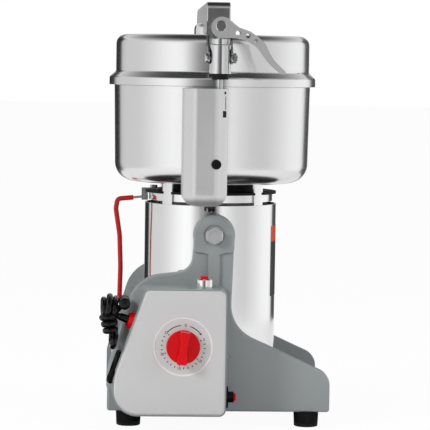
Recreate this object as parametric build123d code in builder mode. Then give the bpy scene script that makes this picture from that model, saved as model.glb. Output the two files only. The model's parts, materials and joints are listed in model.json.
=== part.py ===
"""Swing-type electric grain mill.

The model is drawn about the upright axis of the motor barrel: X to the right, Y away from the
control side, Z up from the table. Every piece is shifted once, when it is written, so that the
finished machine stands over the centre of its own footprint.
"""

from build123d import *
import math
import os

os.makedirs("parts", exist_ok=True)

# ---------------------------------------------------------------- driving dimensions, mm
SLIDE_GAP = 0.05  # radial clearance of a pin or shaft that turns in its hole
SAFE_GAP = 0.3  # clearance between neighbours that move past each other

# feet
FOOT_R = 13.3
FOOT_TAPER = 0.7
FOOT_HEIGHT = 16.0
FOOT_LEFT_X = -87.5
FOOT_RIGHT_X = 101.0
FOOT_RECESS = 8.0  # depth of the screw head's pocket
SCREW_R = 2.5
SCREW_HEAD_R = 4.5
SCREW_HEAD = 3.0

# side frames, set off from the motor barrel
BARREL_R = 71.2
BARREL_GAP = 4.8  # air between the barrel and a frame's inner face
FRAME_INSIDE = BARREL_R + BARREL_GAP  # distance of a frame's inner face from the middle plane
FRAME_WALL = 12.0
FRAME_BOTTOM = FOOT_HEIGHT
FRAME_RIGHT = 124.9
FRAME_LEFT = -110.3
FRAME_NECK = 38.0  # how far the ear's neck runs down below the pivot
EAR_R = 22.0
EAR_BOSS = 3.0  # how far the ear's boss stands proud of the frame
EAR_BOSS_DROP = 19.0  # how far the boss runs down below the pivot
SPOT_DEPTH = 1.0  # depth of the face cut round the pivot
RIB_WIDTH = 12.0
PIVOT_Z = 202.5
FRAME_ROUND = 2.0
FOOT_Y = FRAME_INSIDE + 1.0
LUG_HALF = 12.0  # half the width of a foot lug
LUG_REACH = 12.5  # how far a foot lug stands in from the frame
LUG_HEIGHT = 18.0
LUG_TOP = FRAME_BOTTOM + LUG_HEIGHT
PLATE_SCREW_IN = 9.0  # distance of the plate's screws from the frame's inner face
SCREW_GRIP = 14.0  # thread engaged by a base screw

# base plate and tie rod
BASE_SHEET = 2.5
PLATE_FOLD = 10.0
TIE_X = -93.0
TIE_Z = 70.0
TIE_R = 4.0

# control pod and its cover
POD_WALL = 3.0
POD_DEPTH = 52.0  # how far the pod stands out from the frame
POD_FRONT = FRAME_INSIDE + FRAME_WALL + POD_DEPTH
COVER_THICK = 3.0
COVER_BEVEL = 1.8
COVER_LIP = 2.0  # wall of the lip that fits in the pod's mouth
COVER_RIGHT = 10.7
COVER_TOP = 148.6
COVER_BOTTOM = 19.9
COVER_LEFT = -103.7
COVER_TOP_LEFT = -71.2
COVER_SLANT_Z = 58.3  # height at which the slanted edge meets the upright one
POD_SLANT_Z = 62.0  # the same at the pod's back
POD_MARGIN = 1.6  # pod rim shown round the cover
POD_TOP = COVER_TOP + POD_MARGIN

# timer
DIAL_X = -33.0
DIAL_Z = 91.0
DIAL_R = 30.5
DIAL_DEPTH = 0.8
KNOB_LIFT = 0.2  # air between the dial's floor and the knob
KNOB_R = 17.5
KNOB_BASE = 4.6
KNOB_HEIGHT = 17.5
GRIP_WIDTH = 9.7
GRIP_WAIST = 7.0
GRIP_HOLLOW_R = 40.0
KNOB_TURN = 6.0  # degrees clockwise from upright at rest
TIMER_SHAFT_R = 3.0
TIMER_SHAFT = 20.0
TIMER_BODY = 54.0
TIMER_DEPTH = 26.0

# rocker switch
ROCKER_Z = 68.0
ROCKER_Y = 11.0 - POD_FRONT
ROCKER_LONG = 35.0
ROCKER_WIDE = 22.0
ROCKER_PROUD = 2.4
ROCKER_RIM_LONG = 3.1  # bezel beyond the window at each end
ROCKER_RIM_WIDE = 3.0  # bezel beyond the window at each side
ROCKER_PIN_R = 1.2

# cord gland and the free cord
GLAND_Z = 116.5
GLAND_Y = 10.0 - POD_FRONT
GLAND_R = 9.0
GLAND_OUT = 4.5
CORD_R = 3.25
CORD_TAIL = 6.0  # cord held inside the gland
CORD_RUN = 9.0  # free cord between the gland and the hank

# hank and plug
HANK_FRONT = POD_FRONT + 10.0
HANK_BACK = POD_FRONT - 42.0
PLUG_FRONT = POD_FRONT + 8.0
PLUG_BODY = 36.0
PLUG_PINS = 16.0

# reset breaker
BREAKER_Z = 36.0
BREAKER_Y = 22.0 - POD_FRONT
BREAKER_FLANGE_R = 11.5
BREAKER_FLANGE = 3.2
BREAKER_NECK_R = 5.8
BREAKER_NECK = 9.2
BREAKER_BUTTON_R = 4.1
BREAKER_PROUD = 2.4
BREAKER_HALF = 9.0

# jog button
JOG_X = -11.0
JOG_Y = 22.0 - POD_FRONT
JOG_R = 8.5
JOG_HEIGHT = 9.0
JOG_BUTTON_R = 4.25
JOG_PROUD = 3.0
JOG_STEM = 14.0

# pivot bolts
PIVOT_R = 5.0
BUSH_WALL = 2.0
NUT_FLATS = 16.5
NUT_THICK = 8.0
WASHER_R = 9.2
BOLT_END = 10.0  # bolt beyond the ear's boss

# motor barrel
BARREL_WALL = 1.5
BARREL_BOTTOM = 64.0
BARREL_HEIGHT = 168.0
BARREL_TOP = BARREL_BOTTOM + BARREL_HEIGHT
BARREL_CORNER = 10.0
PAD_R = 15.0

# motor
CORE_R = 52.0
CORE_RIM = 8.0
CORE_LIFT = 54.0
CORE_LENGTH = 60.0
CORE_BOTTOM = BARREL_BOTTOM + CORE_LIFT
CORE_TOP = CORE_BOTTOM + CORE_LENGTH
POLE_HALF = 12.0
ARMATURE_R = CORE_R - 22.0
AIR_GAP = 0.6
SHAFT_R = 6.0
SHAFT_TAIL_R = 4.0
COMMUTATOR_R = 14.0
COMMUTATOR_TOP = CORE_BOTTOM - 2.0
COMMUTATOR_BOTTOM = CORE_BOTTOM - 17.0
BRUSH_HALF = 4.0
BRUSH_Z = CORE_BOTTOM - 11.5
FAN_R = 40.0
FAN_BLADE = 11.0
BELL_TOP = BARREL_TOP - 12.0
BELL_SHEET = 6.0
BEARING_WIDTH = 8.0
BEARING_RING = 8.0  # radial depth of the upper bearing from bore to outside
TAIL_BEARING_WIDTH = 7.0
TAIL_BEARING_RING = 7.0

# stack between barrel and bowl
RING_R = BARREL_R - 4.2
RING_WIDTH = 14.0
RING_GAP = 3.0
RING_THICK = 8.0
RING_BOTTOM = BARREL_TOP + RING_GAP
RING_TOP = RING_BOTTOM + RING_THICK
DISC_R = RING_R + 4.0
DISC_THICK = 2.5
MOUNT_HEIGHT = 12.0
NECK_R = RING_R - 15.0
STRAP_WIDTH = 13.5
STRAP_THICK = 2.2

# bowl
BOWL_R = 105.9
BOWL_TAPER = 1.8
BOWL_FOOT_R = BOWL_R - BOWL_TAPER
BOWL_WALL = 1.5
BOWL_HEIGHT = 103.2
BOWL_BOTTOM = RING_TOP + MOUNT_HEIGHT
BOWL_RIM = BOWL_BOTTOM + BOWL_HEIGHT
BOWL_CORNER = 20.0

# blades
BLADE_REACH = 93.0
UPPER_BLADE_REACH = BLADE_REACH - 14.0
BLADE_WIDTH = 22.0
BLADE_THICK = 3.0
LOWER_BLADE_Z = BOWL_BOTTOM + 7.0
UPPER_BLADE_Z = LOWER_BLADE_Z + 23.0
SHAFT_ABOVE_BLADE = 18.0
BLADE_NUT = 11.0

# lid
LID_R = BOWL_R - 1.4
LID_HEIGHT = 54.0
LID_CORNER = 10.0
LID_WALL = 1.5
FLANGE_R = BOWL_R + 5.6
FLANGE_HEIGHT = 8.4
SHOULDER_HEIGHT = 6.0
FLANGE_BOTTOM = BOWL_RIM + 0.4
FLANGE_TOP = FLANGE_BOTTOM + FLANGE_HEIGHT
SHOULDER_Z = FLANGE_TOP + SHOULDER_HEIGHT
LID_TOP = FLANGE_BOTTOM + LID_HEIGHT
SPIGOT_R = BOWL_R - 2.9
SPIGOT_DEPTH = 6.2
SEAL_THICK = 2.5
HUB_R = 20.5
HUB_HEIGHT = 13.4
HUB_NECK_R = 7.0

# crossbar
BAR_WIDTH = 24.5
BAR_SHEET = 1.5
BAR_NEAR = BOWL_R + 6.1
BAR_UNDER = LID_TOP + 1.4
BAR_TOP_NEAR = LID_TOP + 33.4
BAR_TOP_FAR = LID_TOP + 30.4
HINGE_Y = BOWL_R + 15.1
HINGE_Z = BOWL_RIM + 13.8
HINGE_PIN_R = 4.0
HINGE_EYE_R = 8.0
HINGE_EAR = 3.0

# clamp
CLAMP_X = 1.5
CLAMP_Y = -BOWL_R - 20.1
TRUNNION_Z = BOWL_RIM + 29.8
TRUNNION_R = 3.0
CLAMP_R = 11.0
CLAMP_BOTTOM = TRUNNION_Z - 13.0
CLAMP_TOP = TRUNNION_Z + 14.0
CLAMP_FLANGE = 3.0
COLLAR_R = 9.5
COLLAR_TOP = CLAMP_TOP + 6.0
BUFFER_R = 8.5
BUFFER_LENGTH = 6.0
ROD_R = 3.0
HOOK_PIN_Z = BOWL_RIM - 18.2
HOOK_PIN_R = 2.5
HOOK_PIN_HALF = 6.0
CAM_R = 10.9
CAM_PIN_R = 5.5
CAM_PIN_Z = COLLAR_TOP + 12.9
CAM_SHIFT_X = 1.0
CAM_SHIFT_Z = -1.5
LEVER_WIDTH = 18.0

# clamp housing
HOUSING_LEFT = -36.0
HOUSING_RIGHT = 10.5
HOUSING_FRONT = BOWL_R + 34.1
HOUSING_BOTTOM = BOWL_BOTTOM - 20.2
HOUSING_TOP = BOWL_RIM - 1.7
HOUSING_WALL = 1.6
HOUSING_FLOOR = 4.0
HOUSING_ROUND = 14.0
HOUSING_BOLT_X = -1.5
HOUSING_BOLT_Z = HOUSING_BOTTOM + 44.2
HOUSING_BOLT_R = 5.0
CABLE_R = 1.9
CABLE_Z = BARREL_TOP - 2.5

# latch rod
LATCH_X = -RING_R - 4.5
LATCH_Z = RING_TOP - 5.5
WIRE_R = 1.3
SLEEVE_R = 2.6
LATCH_PIN_R = 1.5
LATCH_STUD_R = 2.0
LATCH_STUD_X = 5.0 - RING_R

# the machine's footprint centre, measured from the barrel axis
LEFT_REACH = FLANGE_R
RIGHT_REACH = FRAME_RIGHT
KNOB_FACE = POD_FRONT + COVER_THICK + KNOB_HEIGHT - DIAL_DEPTH + KNOB_LIFT
REAR_REACH = HINGE_Y + HINGE_EYE_R
TO_FOOTPRINT = Location((-(RIGHT_REACH - LEFT_REACH) / 2, -(REAR_REACH - KNOB_FACE) / 2, 0))


# ---------------------------------------------------------------- shared shapes
def rounded_outline(corners, radii, inset=0.0, plane=Plane.XY):
    """Return a flat face: a polygon whose corners are rounded one by one, then moved inwards."""
    with BuildSketch(plane) as outline:
        with BuildLine():
            Polyline(*corners, close=True)
        make_face()
        for (across, up), radius in zip(corners, radii):
            if radius:
                fillet(outline.vertices().sort_by_distance((across, up, 0))[0], radius)
        if inset:
            offset(amount=-inset, kind=Kind.INTERSECTION, mode=Mode.REPLACE)
    return outline.sketch.face()


def turned(profile, radii=None):
    """Return a solid of revolution about the barrel axis from (radius, height) corners."""
    with BuildPart() as body:
        with BuildSketch(Plane.XZ):
            add(rounded_outline(profile, radii or [0] * len(profile)))
        revolve(axis=Axis.Z)
    return body.part


def front_plane(y):
    """Return the upright plane at y, drawn as seen from the control side."""
    return Plane.XZ.offset(-y)


def tube_along(points, radii, tube_r):
    """Return a round rod along straight runs joined by arcs."""
    with BuildPart() as tube:
        with BuildLine() as path:
            FilletPolyline(*points, radius=radii)
        with BuildSketch(Plane(origin=path.line @ 0, z_dir=path.line % 0)):
            Circle(tube_r)
        sweep(path=path.line)
    return tube.part


def block(x0, x1, y0, y1, z0, z1):
    """Return a loose box between two opposite corners."""
    size = Box(x1 - x0, y1 - y0, z1 - z0, mode=Mode.PRIVATE)
    return size.moved(Location(((x0 + x1) / 2, (y0 + y1) / 2, (z0 + z1) / 2)))


def rod_between(start, direction, radius, length):
    """Return a loose round rod from a point along a direction."""
    rod = Cylinder(radius, length, align=(Align.CENTER, Align.CENTER, Align.MIN), mode=Mode.PRIVATE)
    return rod.moved(Plane(origin=start, z_dir=direction).location)


def hexagon(start, direction, flats, length):
    """Return a loose hexagonal bar from a point along a direction."""
    corner = flats / math.sqrt(3)
    with BuildPart(mode=Mode.PRIVATE) as bar:
        with BuildSketch(Plane(origin=start, z_dir=direction)):
            RegularPolygon(corner, 6)
        extrude(amount=length)
        chamfer(bar.edges().filter_by(GeomType.LINE).group_by(SortBy.LENGTH)[-1], 0.4)
    return bar.part


# ---------------------------------------------------------------- side frames
frame_corners = [
    (FRAME_RIGHT, FRAME_BOTTOM),
    (FRAME_RIGHT, 55.8),
    (18.6, 104.5),
    (EAR_R - 0.6, PIVOT_Z - 8),
    (1 - EAR_R, PIVOT_Z - 8),
    (-EAR_R - 1.5, PIVOT_Z - FRAME_NECK),
    (-82.0, PIVOT_Z - FRAME_NECK - 7),
    (FRAME_LEFT, 60.8),
    (FRAME_LEFT, FRAME_BOTTOM),
]
frame_rounds = [3, 18, 40, 0, 0, 17, 40, 30, 3]
bush_r = PIVOT_R + SLIDE_GAP + BUSH_WALL
ear_face = FRAME_INSIDE + FRAME_WALL + EAR_BOSS
foot_xs = (FOOT_LEFT_X, FOOT_RIGHT_X)

with BuildPart() as near_side_frame:
    with BuildSketch(front_plane(-FRAME_INSIDE)):
        add(rounded_outline(frame_corners, frame_rounds))
        with Locations((0, PIVOT_Z)):
            Circle(EAR_R)
    extrude(amount=FRAME_WALL)
    outer_face = near_side_frame.faces().sort_by(Axis.Y)[0]
    fillet(outer_face.edges(), FRAME_ROUND)
    # raised ear and the rib under it
    with BuildSketch(front_plane(-FRAME_INSIDE - FRAME_WALL / 2)) as ear:
        with Locations((0, PIVOT_Z)):
            Circle(EAR_R)
        with Locations((0, PIVOT_Z - EAR_BOSS_DROP / 2)):
            Rectangle(2 * EAR_R - 1, EAR_BOSS_DROP)
        lower = ear.vertices().group_by(Axis.Y)[0]
        fillet(lower, 5)
    extrude(amount=FRAME_WALL / 2 + EAR_BOSS)
    boss_rim = near_side_frame.faces().sort_by(Axis.Y)[0]
    fillet(boss_rim.edges(), FRAME_ROUND)
    with BuildSketch(front_plane(-FRAME_INSIDE - FRAME_WALL / 2)):
        with Locations((0, POD_TOP + (PIVOT_Z - POD_TOP) / 2)):
            Rectangle(RIB_WIDTH, PIVOT_Z - POD_TOP)
    extrude(amount=FRAME_WALL / 2 + EAR_BOSS)
    # lugs for the feet and the base plate
    for foot_x in foot_xs:
        add(block(foot_x - LUG_HALF, foot_x + LUG_HALF, -FRAME_INSIDE - FRAME_WALL / 2,
                  LUG_REACH - FRAME_INSIDE, FRAME_BOTTOM, LUG_TOP))
        add(rod_between((foot_x, -FOOT_Y, FRAME_BOTTOM), (0, 0, 1), SCREW_R, SCREW_GRIP),
            mode=Mode.SUBTRACT)
        add(rod_between((foot_x, PLATE_SCREW_IN - FRAME_INSIDE, LUG_TOP), (0, 0, -1), SCREW_R,
                        SCREW_GRIP), mode=Mode.SUBTRACT)
    # pivot bore with its spot face, and the tie rod's screw hole
    add(rod_between((0, 0, PIVOT_Z), (0, -1, 0), bush_r, 120), mode=Mode.SUBTRACT)
    add(rod_between((0, SPOT_DEPTH - ear_face, PIVOT_Z), (0, -1, 0), WASHER_R + 2, 20), mode=Mode.SUBTRACT)
    add(rod_between((TIE_X, 0, TIE_Z), (0, -1, 0), SCREW_R, 120), mode=Mode.SUBTRACT)

with BuildPart() as far_side_frame:
    add(mirror(near_side_frame.part, about=Plane.XZ, mode=Mode.PRIVATE))

with BuildPart() as pivot_bushes:
    for side in (-1, 1):
        bush_start = (0, side * FRAME_INSIDE, PIVOT_Z)
        add(rod_between(bush_start, (0, side, 0), bush_r, FRAME_WALL + EAR_BOSS - SPOT_DEPTH))
        add(rod_between(bush_start, (0, side, 0), PIVOT_R + SLIDE_GAP, 3 * FRAME_WALL),
            mode=Mode.SUBTRACT)

# ---------------------------------------------------------------- base plate, tie rod, feet
plate_left = FOOT_LEFT_X - LUG_HALF + 2
plate_right = FOOT_RIGHT_X + LUG_HALF
plate_half = FRAME_INSIDE - 0.1

with BuildPart() as base_plate:
    add(block(plate_left, plate_right, -plate_half, plate_half, LUG_TOP, LUG_TOP + BASE_SHEET))
    for fold_x in (plate_left, plate_right - BASE_SHEET):
        add(block(fold_x, fold_x + BASE_SHEET, LUG_REACH - FRAME_INSIDE + 1,
                  FRAME_INSIDE - LUG_REACH - 1, LUG_TOP - PLATE_FOLD, LUG_TOP))
    for foot_x in foot_xs:
        for side in (-1, 1):
            with Locations((foot_x, side * (FRAME_INSIDE - PLATE_SCREW_IN), LUG_TOP)):
                Cylinder(SCREW_R, 20, mode=Mode.SUBTRACT)

with BuildPart() as tie_rod:
    add(rod_between((TIE_X, -FRAME_INSIDE, TIE_Z), (0, 1, 0), TIE_R, 2 * FRAME_INSIDE))
    for side in (-1, 1):
        add(rod_between((TIE_X, side * FRAME_INSIDE, TIE_Z), (0, -side, 0), SCREW_R, SCREW_GRIP),
            mode=Mode.SUBTRACT)

with BuildPart() as rubber_feet:
    for foot_x in foot_xs:
        for side in (-1, 1):
            with Locations((foot_x, side * FOOT_Y, 0)):
                Cone(FOOT_R - FOOT_TAPER, FOOT_R, FRAME_BOTTOM,
                     align=(Align.CENTER, Align.CENTER, Align.MIN))
    chamfer(rubber_feet.edges().filter_by(GeomType.CIRCLE).group_by(Axis.Z)[0], 0.8)
    for foot_x in foot_xs:
        for side in (-1, 1):
            with Locations((foot_x, side * FOOT_Y, 0)):
                Cylinder(SCREW_HEAD_R + 1.1, FOOT_RECESS,
                         align=(Align.CENTER, Align.CENTER, Align.MIN), mode=Mode.SUBTRACT)
                Cylinder(SCREW_R, 3 * FRAME_BOTTOM, align=(Align.CENTER, Align.CENTER, Align.MIN),
                         mode=Mode.SUBTRACT)

with BuildPart() as base_screws:
    for foot_x in foot_xs:
        for side in (-1, 1):
            foot_at = (foot_x, side * FOOT_Y, FOOT_RECESS)
            add(rod_between(foot_at, (0, 0, 1), SCREW_R, FOOT_HEIGHT - FOOT_RECESS + 12))
            add(rod_between(foot_at, (0, 0, -1), SCREW_HEAD_R, SCREW_HEAD))
            plate_at = (foot_x, side * (FRAME_INSIDE - PLATE_SCREW_IN), LUG_TOP + BASE_SHEET)
            add(rod_between(plate_at, (0, 0, -1), SCREW_R, SCREW_GRIP))
            add(rod_between(plate_at, (0, 0, 1), SCREW_HEAD_R, SCREW_HEAD))
    for side in (-1, 1):
        tie_at = (TIE_X, side * (FRAME_INSIDE + FRAME_WALL), TIE_Z)
        add(rod_between(tie_at, (0, -side, 0), SCREW_R, FRAME_WALL + 12))
        add(rod_between(tie_at, (0, side, 0), SCREW_HEAD_R, SCREW_HEAD))

# ---------------------------------------------------------------- control pod
cover_corners = [
    (COVER_RIGHT, COVER_BOTTOM),
    (COVER_RIGHT, COVER_TOP),
    (COVER_TOP_LEFT, COVER_TOP),
    (COVER_LEFT, COVER_SLANT_Z),
    (COVER_LEFT, COVER_BOTTOM),
]
cover_rounds = [6, 6, 6, 60, 25]
pod_back = FRAME_INSIDE + FRAME_WALL
pod_back_left = FRAME_LEFT + 1.0
pod_back_top_left = -82.4
pod_back_corners = [
    (COVER_RIGHT + POD_MARGIN, COVER_BOTTOM - POD_MARGIN),
    (COVER_RIGHT + POD_MARGIN, POD_TOP),
    (pod_back_top_left, POD_TOP),
    (pod_back_left, POD_SLANT_Z),
    (pod_back_left, COVER_BOTTOM - POD_MARGIN),
]
pod_back_rounds = [7.6, 7.6, 20, 60, 26.6]


def pod_shell(inset):
    """Return the pod's solid shape, moved inwards by a wall or outwards by a clearance."""
    back = rounded_outline(pod_back_corners, pod_back_rounds, inset, front_plane(-pod_back))
    front = rounded_outline(cover_corners, cover_rounds, inset - POD_MARGIN,
                            front_plane(-POD_FRONT))
    with BuildPart() as shell:
        loft(sections=[back, front], ruled=True)
    return shell.part


def left_wall_plane(y, z, depth=0.0):
    """Return the plane on the pod's slanted left wall at y and z, facing outwards."""
    front_top_left = COVER_TOP_LEFT - POD_MARGIN
    front_left = COVER_LEFT - POD_MARGIN
    front_slope = (front_top_left - front_left) / (COVER_TOP - COVER_SLANT_Z)
    back_slope = (pod_back_top_left - pod_back_left) / (POD_TOP - POD_SLANT_Z)
    x_front = front_left + front_slope * (z - COVER_SLANT_Z)
    x_back = pod_back_left + back_slope * (z - POD_SLANT_Z)
    forward = (-pod_back - y) / (POD_FRONT - pod_back)
    to_front = Vector(x_front - x_back, pod_back - POD_FRONT, 0).normalized()
    up_wall = Vector(back_slope + (front_slope - back_slope) * forward, 0, 1).normalized()
    outwards = to_front.cross(up_wall).normalized()
    if outwards.X > 0:
        outwards = outwards * -1
    spot = Vector(x_back + (x_front - x_back) * forward, y, z)
    return Plane(origin=spot + outwards * depth, x_dir=to_front, z_dir=outwards)


rocker_plane = left_wall_plane(ROCKER_Y, ROCKER_Z)
gland_plane = left_wall_plane(GLAND_Y, GLAND_Z)
rocker_seat = 0.8  # how deep the rocker's flange is let into the wall
gland_seat = 0.8
pod_right = COVER_RIGHT + POD_MARGIN
gland_neck_r = GLAND_R - 2.5

with BuildPart() as control_pod:
    add(pod_shell(0))
    add(pod_shell(POD_WALL), mode=Mode.SUBTRACT)
    with BuildSketch(rocker_plane.offset(-rocker_seat)):
        RectangleRounded(ROCKER_WIDE, ROCKER_LONG, 3)
    extrude(amount=8, mode=Mode.SUBTRACT)
    with BuildSketch(rocker_plane.offset(-12)):
        Rectangle(ROCKER_WIDE - 3, ROCKER_LONG - 3)
    extrude(amount=14, mode=Mode.SUBTRACT)
    with BuildSketch(gland_plane.offset(-gland_seat)):
        Circle(GLAND_R)
    extrude(amount=8, mode=Mode.SUBTRACT)
    with BuildSketch(gland_plane.offset(-12)):
        Circle(gland_neck_r)
    extrude(amount=14, mode=Mode.SUBTRACT)
    add(rod_between((0, BREAKER_Y, BREAKER_Z), (1, 0, 0), BREAKER_NECK_R, 30), mode=Mode.SUBTRACT)
    add(rod_between((pod_right - 0.4, BREAKER_Y, BREAKER_Z), (1, 0, 0), BREAKER_FLANGE_R, 5),
        mode=Mode.SUBTRACT)
    add(rod_between((JOG_X, JOG_Y, POD_TOP - 10), (0, 0, 1), JOG_R - 2, 20), mode=Mode.SUBTRACT)

dial_floor = POD_FRONT + COVER_THICK - DIAL_DEPTH

with BuildPart() as pod_cover:
    with BuildSketch(front_plane(-POD_FRONT)):
        add(rounded_outline(cover_corners, cover_rounds))
    extrude(amount=COVER_THICK - COVER_BEVEL)
    extrude(pod_cover.faces().sort_by(Axis.Y)[0], amount=COVER_BEVEL, taper=45)
    # lip that holds the cover in the pod's mouth
    with BuildSketch(front_plane(-POD_FRONT)):
        add(rounded_outline(cover_corners, cover_rounds, POD_WALL))
        add(rounded_outline(cover_corners, cover_rounds, POD_WALL + COVER_LIP),
            mode=Mode.SUBTRACT)
    extrude(amount=-5)
    # the lip leaves room for the rocker and the gland behind the slanted wall
    for wall_plane, wide, tall in ((rocker_plane, ROCKER_WIDE, ROCKER_LONG),
                                   (gland_plane, 2 * GLAND_R, 2 * GLAND_R)):
        with BuildSketch(wall_plane):
            Rectangle(wide - 2, tall)
        extrude(amount=-20, mode=Mode.SUBTRACT)
    with BuildSketch(front_plane(-dial_floor)):
        with Locations((DIAL_X, DIAL_Z)):
            Circle(DIAL_R)
    extrude(amount=10, mode=Mode.SUBTRACT)
    add(rod_between((DIAL_X, 0, DIAL_Z), (0, -1, 0), TIMER_SHAFT_R + 1, 200), mode=Mode.SUBTRACT)

# ---------------------------------------------------------------- timer and its knob
with BuildPart() as timer_body:
    half = TIMER_BODY / 2
    add(block(DIAL_X - half, DIAL_X + half, -POD_FRONT, TIMER_DEPTH - POD_FRONT,
              DIAL_Z - half, DIAL_Z + half))
    fillet(timer_body.edges().filter_by(Axis.Y), 4)
    add(rod_between((DIAL_X, 0, DIAL_Z), (0, -1, 0), TIMER_SHAFT_R + SLIDE_GAP, 200),
        mode=Mode.SUBTRACT)

knob_back = dial_floor + KNOB_LIFT
grip_reach = KNOB_HEIGHT - KNOB_BASE

with BuildPart() as timer_knob:
    with BuildSketch(front_plane(-knob_back)):
        with Locations((DIAL_X, DIAL_Z)):
            Circle(KNOB_R)
    extrude(amount=KNOB_BASE)
    fillet(timer_knob.edges().filter_by(GeomType.CIRCLE).sort_by(Axis.Y)[0], 1.5)
    with BuildSketch(front_plane(-knob_back - KNOB_BASE + 1)) as grip:
        with Locations(Location((DIAL_X, DIAL_Z, 0), (0, 0, -KNOB_TURN))):
            Rectangle(GRIP_WIDTH, 2 * KNOB_R - 1.5)
            with Locations((GRIP_WAIST / 2 + GRIP_HOLLOW_R, 0),
                           (-GRIP_WAIST / 2 - GRIP_HOLLOW_R, 0)):
                Circle(GRIP_HOLLOW_R, mode=Mode.SUBTRACT)
    extrude(amount=grip_reach + 1)
    grip_top = timer_knob.faces().sort_by(Axis.Y)[0]
    fillet(grip_top.edges(), 1.2)
    add(rod_between((DIAL_X, -knob_back - 1, DIAL_Z), (0, 1, 0), TIMER_SHAFT_R, TIMER_SHAFT))

# ---------------------------------------------------------------- rocker switch
window_long = ROCKER_LONG - 2 * ROCKER_RIM_LONG
window_wide = ROCKER_WIDE - 2 * ROCKER_RIM_WIDE
rocker_depth = 12.0
rocker_axis_depth = 4.0
rocker_half = window_long / 2 - 1.4
rocker_side = window_wide / 2 - SAFE_GAP

with BuildPart() as rocker_bezel:
    with BuildSketch(rocker_plane.offset(-rocker_seat)):
        RectangleRounded(ROCKER_WIDE, ROCKER_LONG, 3)
    extrude(amount=rocker_seat + ROCKER_PROUD, taper=12)
    with BuildSketch(rocker_plane.offset(-rocker_seat)):
        Rectangle(ROCKER_WIDE - 3, ROCKER_LONG - 3)
    extrude(amount=-rocker_depth - 2)
    with BuildSketch(rocker_plane.offset(-rocker_depth)):
        Rectangle(window_wide, window_long)
    extrude(amount=rocker_depth + 5, mode=Mode.SUBTRACT)
    with Locations(rocker_plane.offset(-rocker_axis_depth)):
        Cylinder(ROCKER_PIN_R + SLIDE_GAP, window_wide + 2.6, rotation=(0, 90, 0), mode=Mode.SUBTRACT)

with BuildPart() as rocker_button:
    with BuildSketch(Plane(origin=rocker_plane.origin - rocker_plane.x_dir * rocker_side,
                           x_dir=rocker_plane.y_dir, z_dir=rocker_plane.x_dir)):
        with BuildLine():
            Polyline((-rocker_half, -8), (rocker_half, -8), (rocker_half, 3.0), (0, 0.6),
                     (-rocker_half, 3.0), close=True)
        make_face()
    extrude(amount=2 * rocker_side)
    fillet(rocker_button.edges().filter_by(GeomType.LINE).group_by(SortBy.LENGTH)[0], 0.4)
    with Locations(rocker_plane.offset(-rocker_axis_depth)):
        Cylinder(ROCKER_PIN_R, window_wide + 2, rotation=(0, 90, 0))

# ---------------------------------------------------------------- cord gland
with BuildPart() as cord_gland:
    with BuildSketch(gland_plane.offset(-gland_seat)):
        Circle(GLAND_R)
    extrude(amount=gland_seat + 2.2)
    with BuildSketch(gland_plane.offset(2.2)):
        Circle(GLAND_R - 0.4)
    extrude(amount=GLAND_OUT - 2.2, taper=35)
    with BuildSketch(gland_plane.offset(-gland_seat)):
        Circle(gland_neck_r)
    extrude(amount=-POD_WALL - 4)
    with BuildSketch(gland_plane.offset(-20)):
        Circle(CORD_R)
    extrude(amount=40, mode=Mode.SUBTRACT)

# ---------------------------------------------------------------- reset breaker
breaker_face = pod_right - 0.4
breaker_end = breaker_face + BREAKER_NECK

with BuildPart() as breaker_body:
    add(rod_between((breaker_face, BREAKER_Y, BREAKER_Z), (1, 0, 0), BREAKER_FLANGE_R,
                    BREAKER_FLANGE))
    add(rod_between((breaker_face, BREAKER_Y, BREAKER_Z), (1, 0, 0), BREAKER_NECK_R,
                    BREAKER_NECK))
    add(rod_between((breaker_face, BREAKER_Y, BREAKER_Z), (-1, 0, 0), BREAKER_NECK_R, 3))
    add(block(breaker_face - 25, breaker_face - POD_WALL, BREAKER_Y - BREAKER_HALF,
              BREAKER_Y + BREAKER_HALF, BREAKER_Z - BREAKER_HALF, BREAKER_Z + BREAKER_HALF))
    add(rod_between((breaker_end - 12, BREAKER_Y, BREAKER_Z), (1, 0, 0),
                    BREAKER_BUTTON_R + SLIDE_GAP, 20), mode=Mode.SUBTRACT)

with BuildPart() as breaker_button:
    add(rod_between((breaker_end - 9, BREAKER_Y, BREAKER_Z), (1, 0, 0), BREAKER_BUTTON_R,
                    9 + BREAKER_PROUD))
    fillet(breaker_button.edges().sort_by(Axis.X)[-1], 0.8)

# ---------------------------------------------------------------- jog button
jog_top = POD_TOP + JOG_HEIGHT

with BuildPart() as jog_collar:
    add(rod_between((JOG_X, JOG_Y, POD_TOP), (0, 0, 1), JOG_R, JOG_HEIGHT))
    chamfer(jog_collar.edges().sort_by(Axis.Z)[-1], 0.8)
    add(rod_between((JOG_X, JOG_Y, POD_TOP), (0, 0, -1), JOG_R - 2, 22))
    add(rod_between((JOG_X, JOG_Y, POD_TOP - POD_WALL), (0, 0, -1), JOG_R + 0.5, 4))
    add(rod_between((JOG_X, JOG_Y, POD_TOP - 14), (0, 0, 1), JOG_BUTTON_R + SLIDE_GAP,
                    4 * JOG_HEIGHT),
        mode=Mode.SUBTRACT)

with BuildPart() as jog_button:
    add(rod_between((JOG_X, JOG_Y, jog_top + JOG_PROUD), (0, 0, -1), JOG_BUTTON_R,
                    JOG_PROUD + JOG_STEM))
    fillet(jog_button.edges().sort_by(Axis.Z)[-1], 0.8)

# ---------------------------------------------------------------- motor barrel
inside_r = BARREL_R - BARREL_WALL
pad_start = inside_r / 2
pad_face = FRAME_INSIDE - SAFE_GAP
cable_xs = (-6.7, -2.4)

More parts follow.
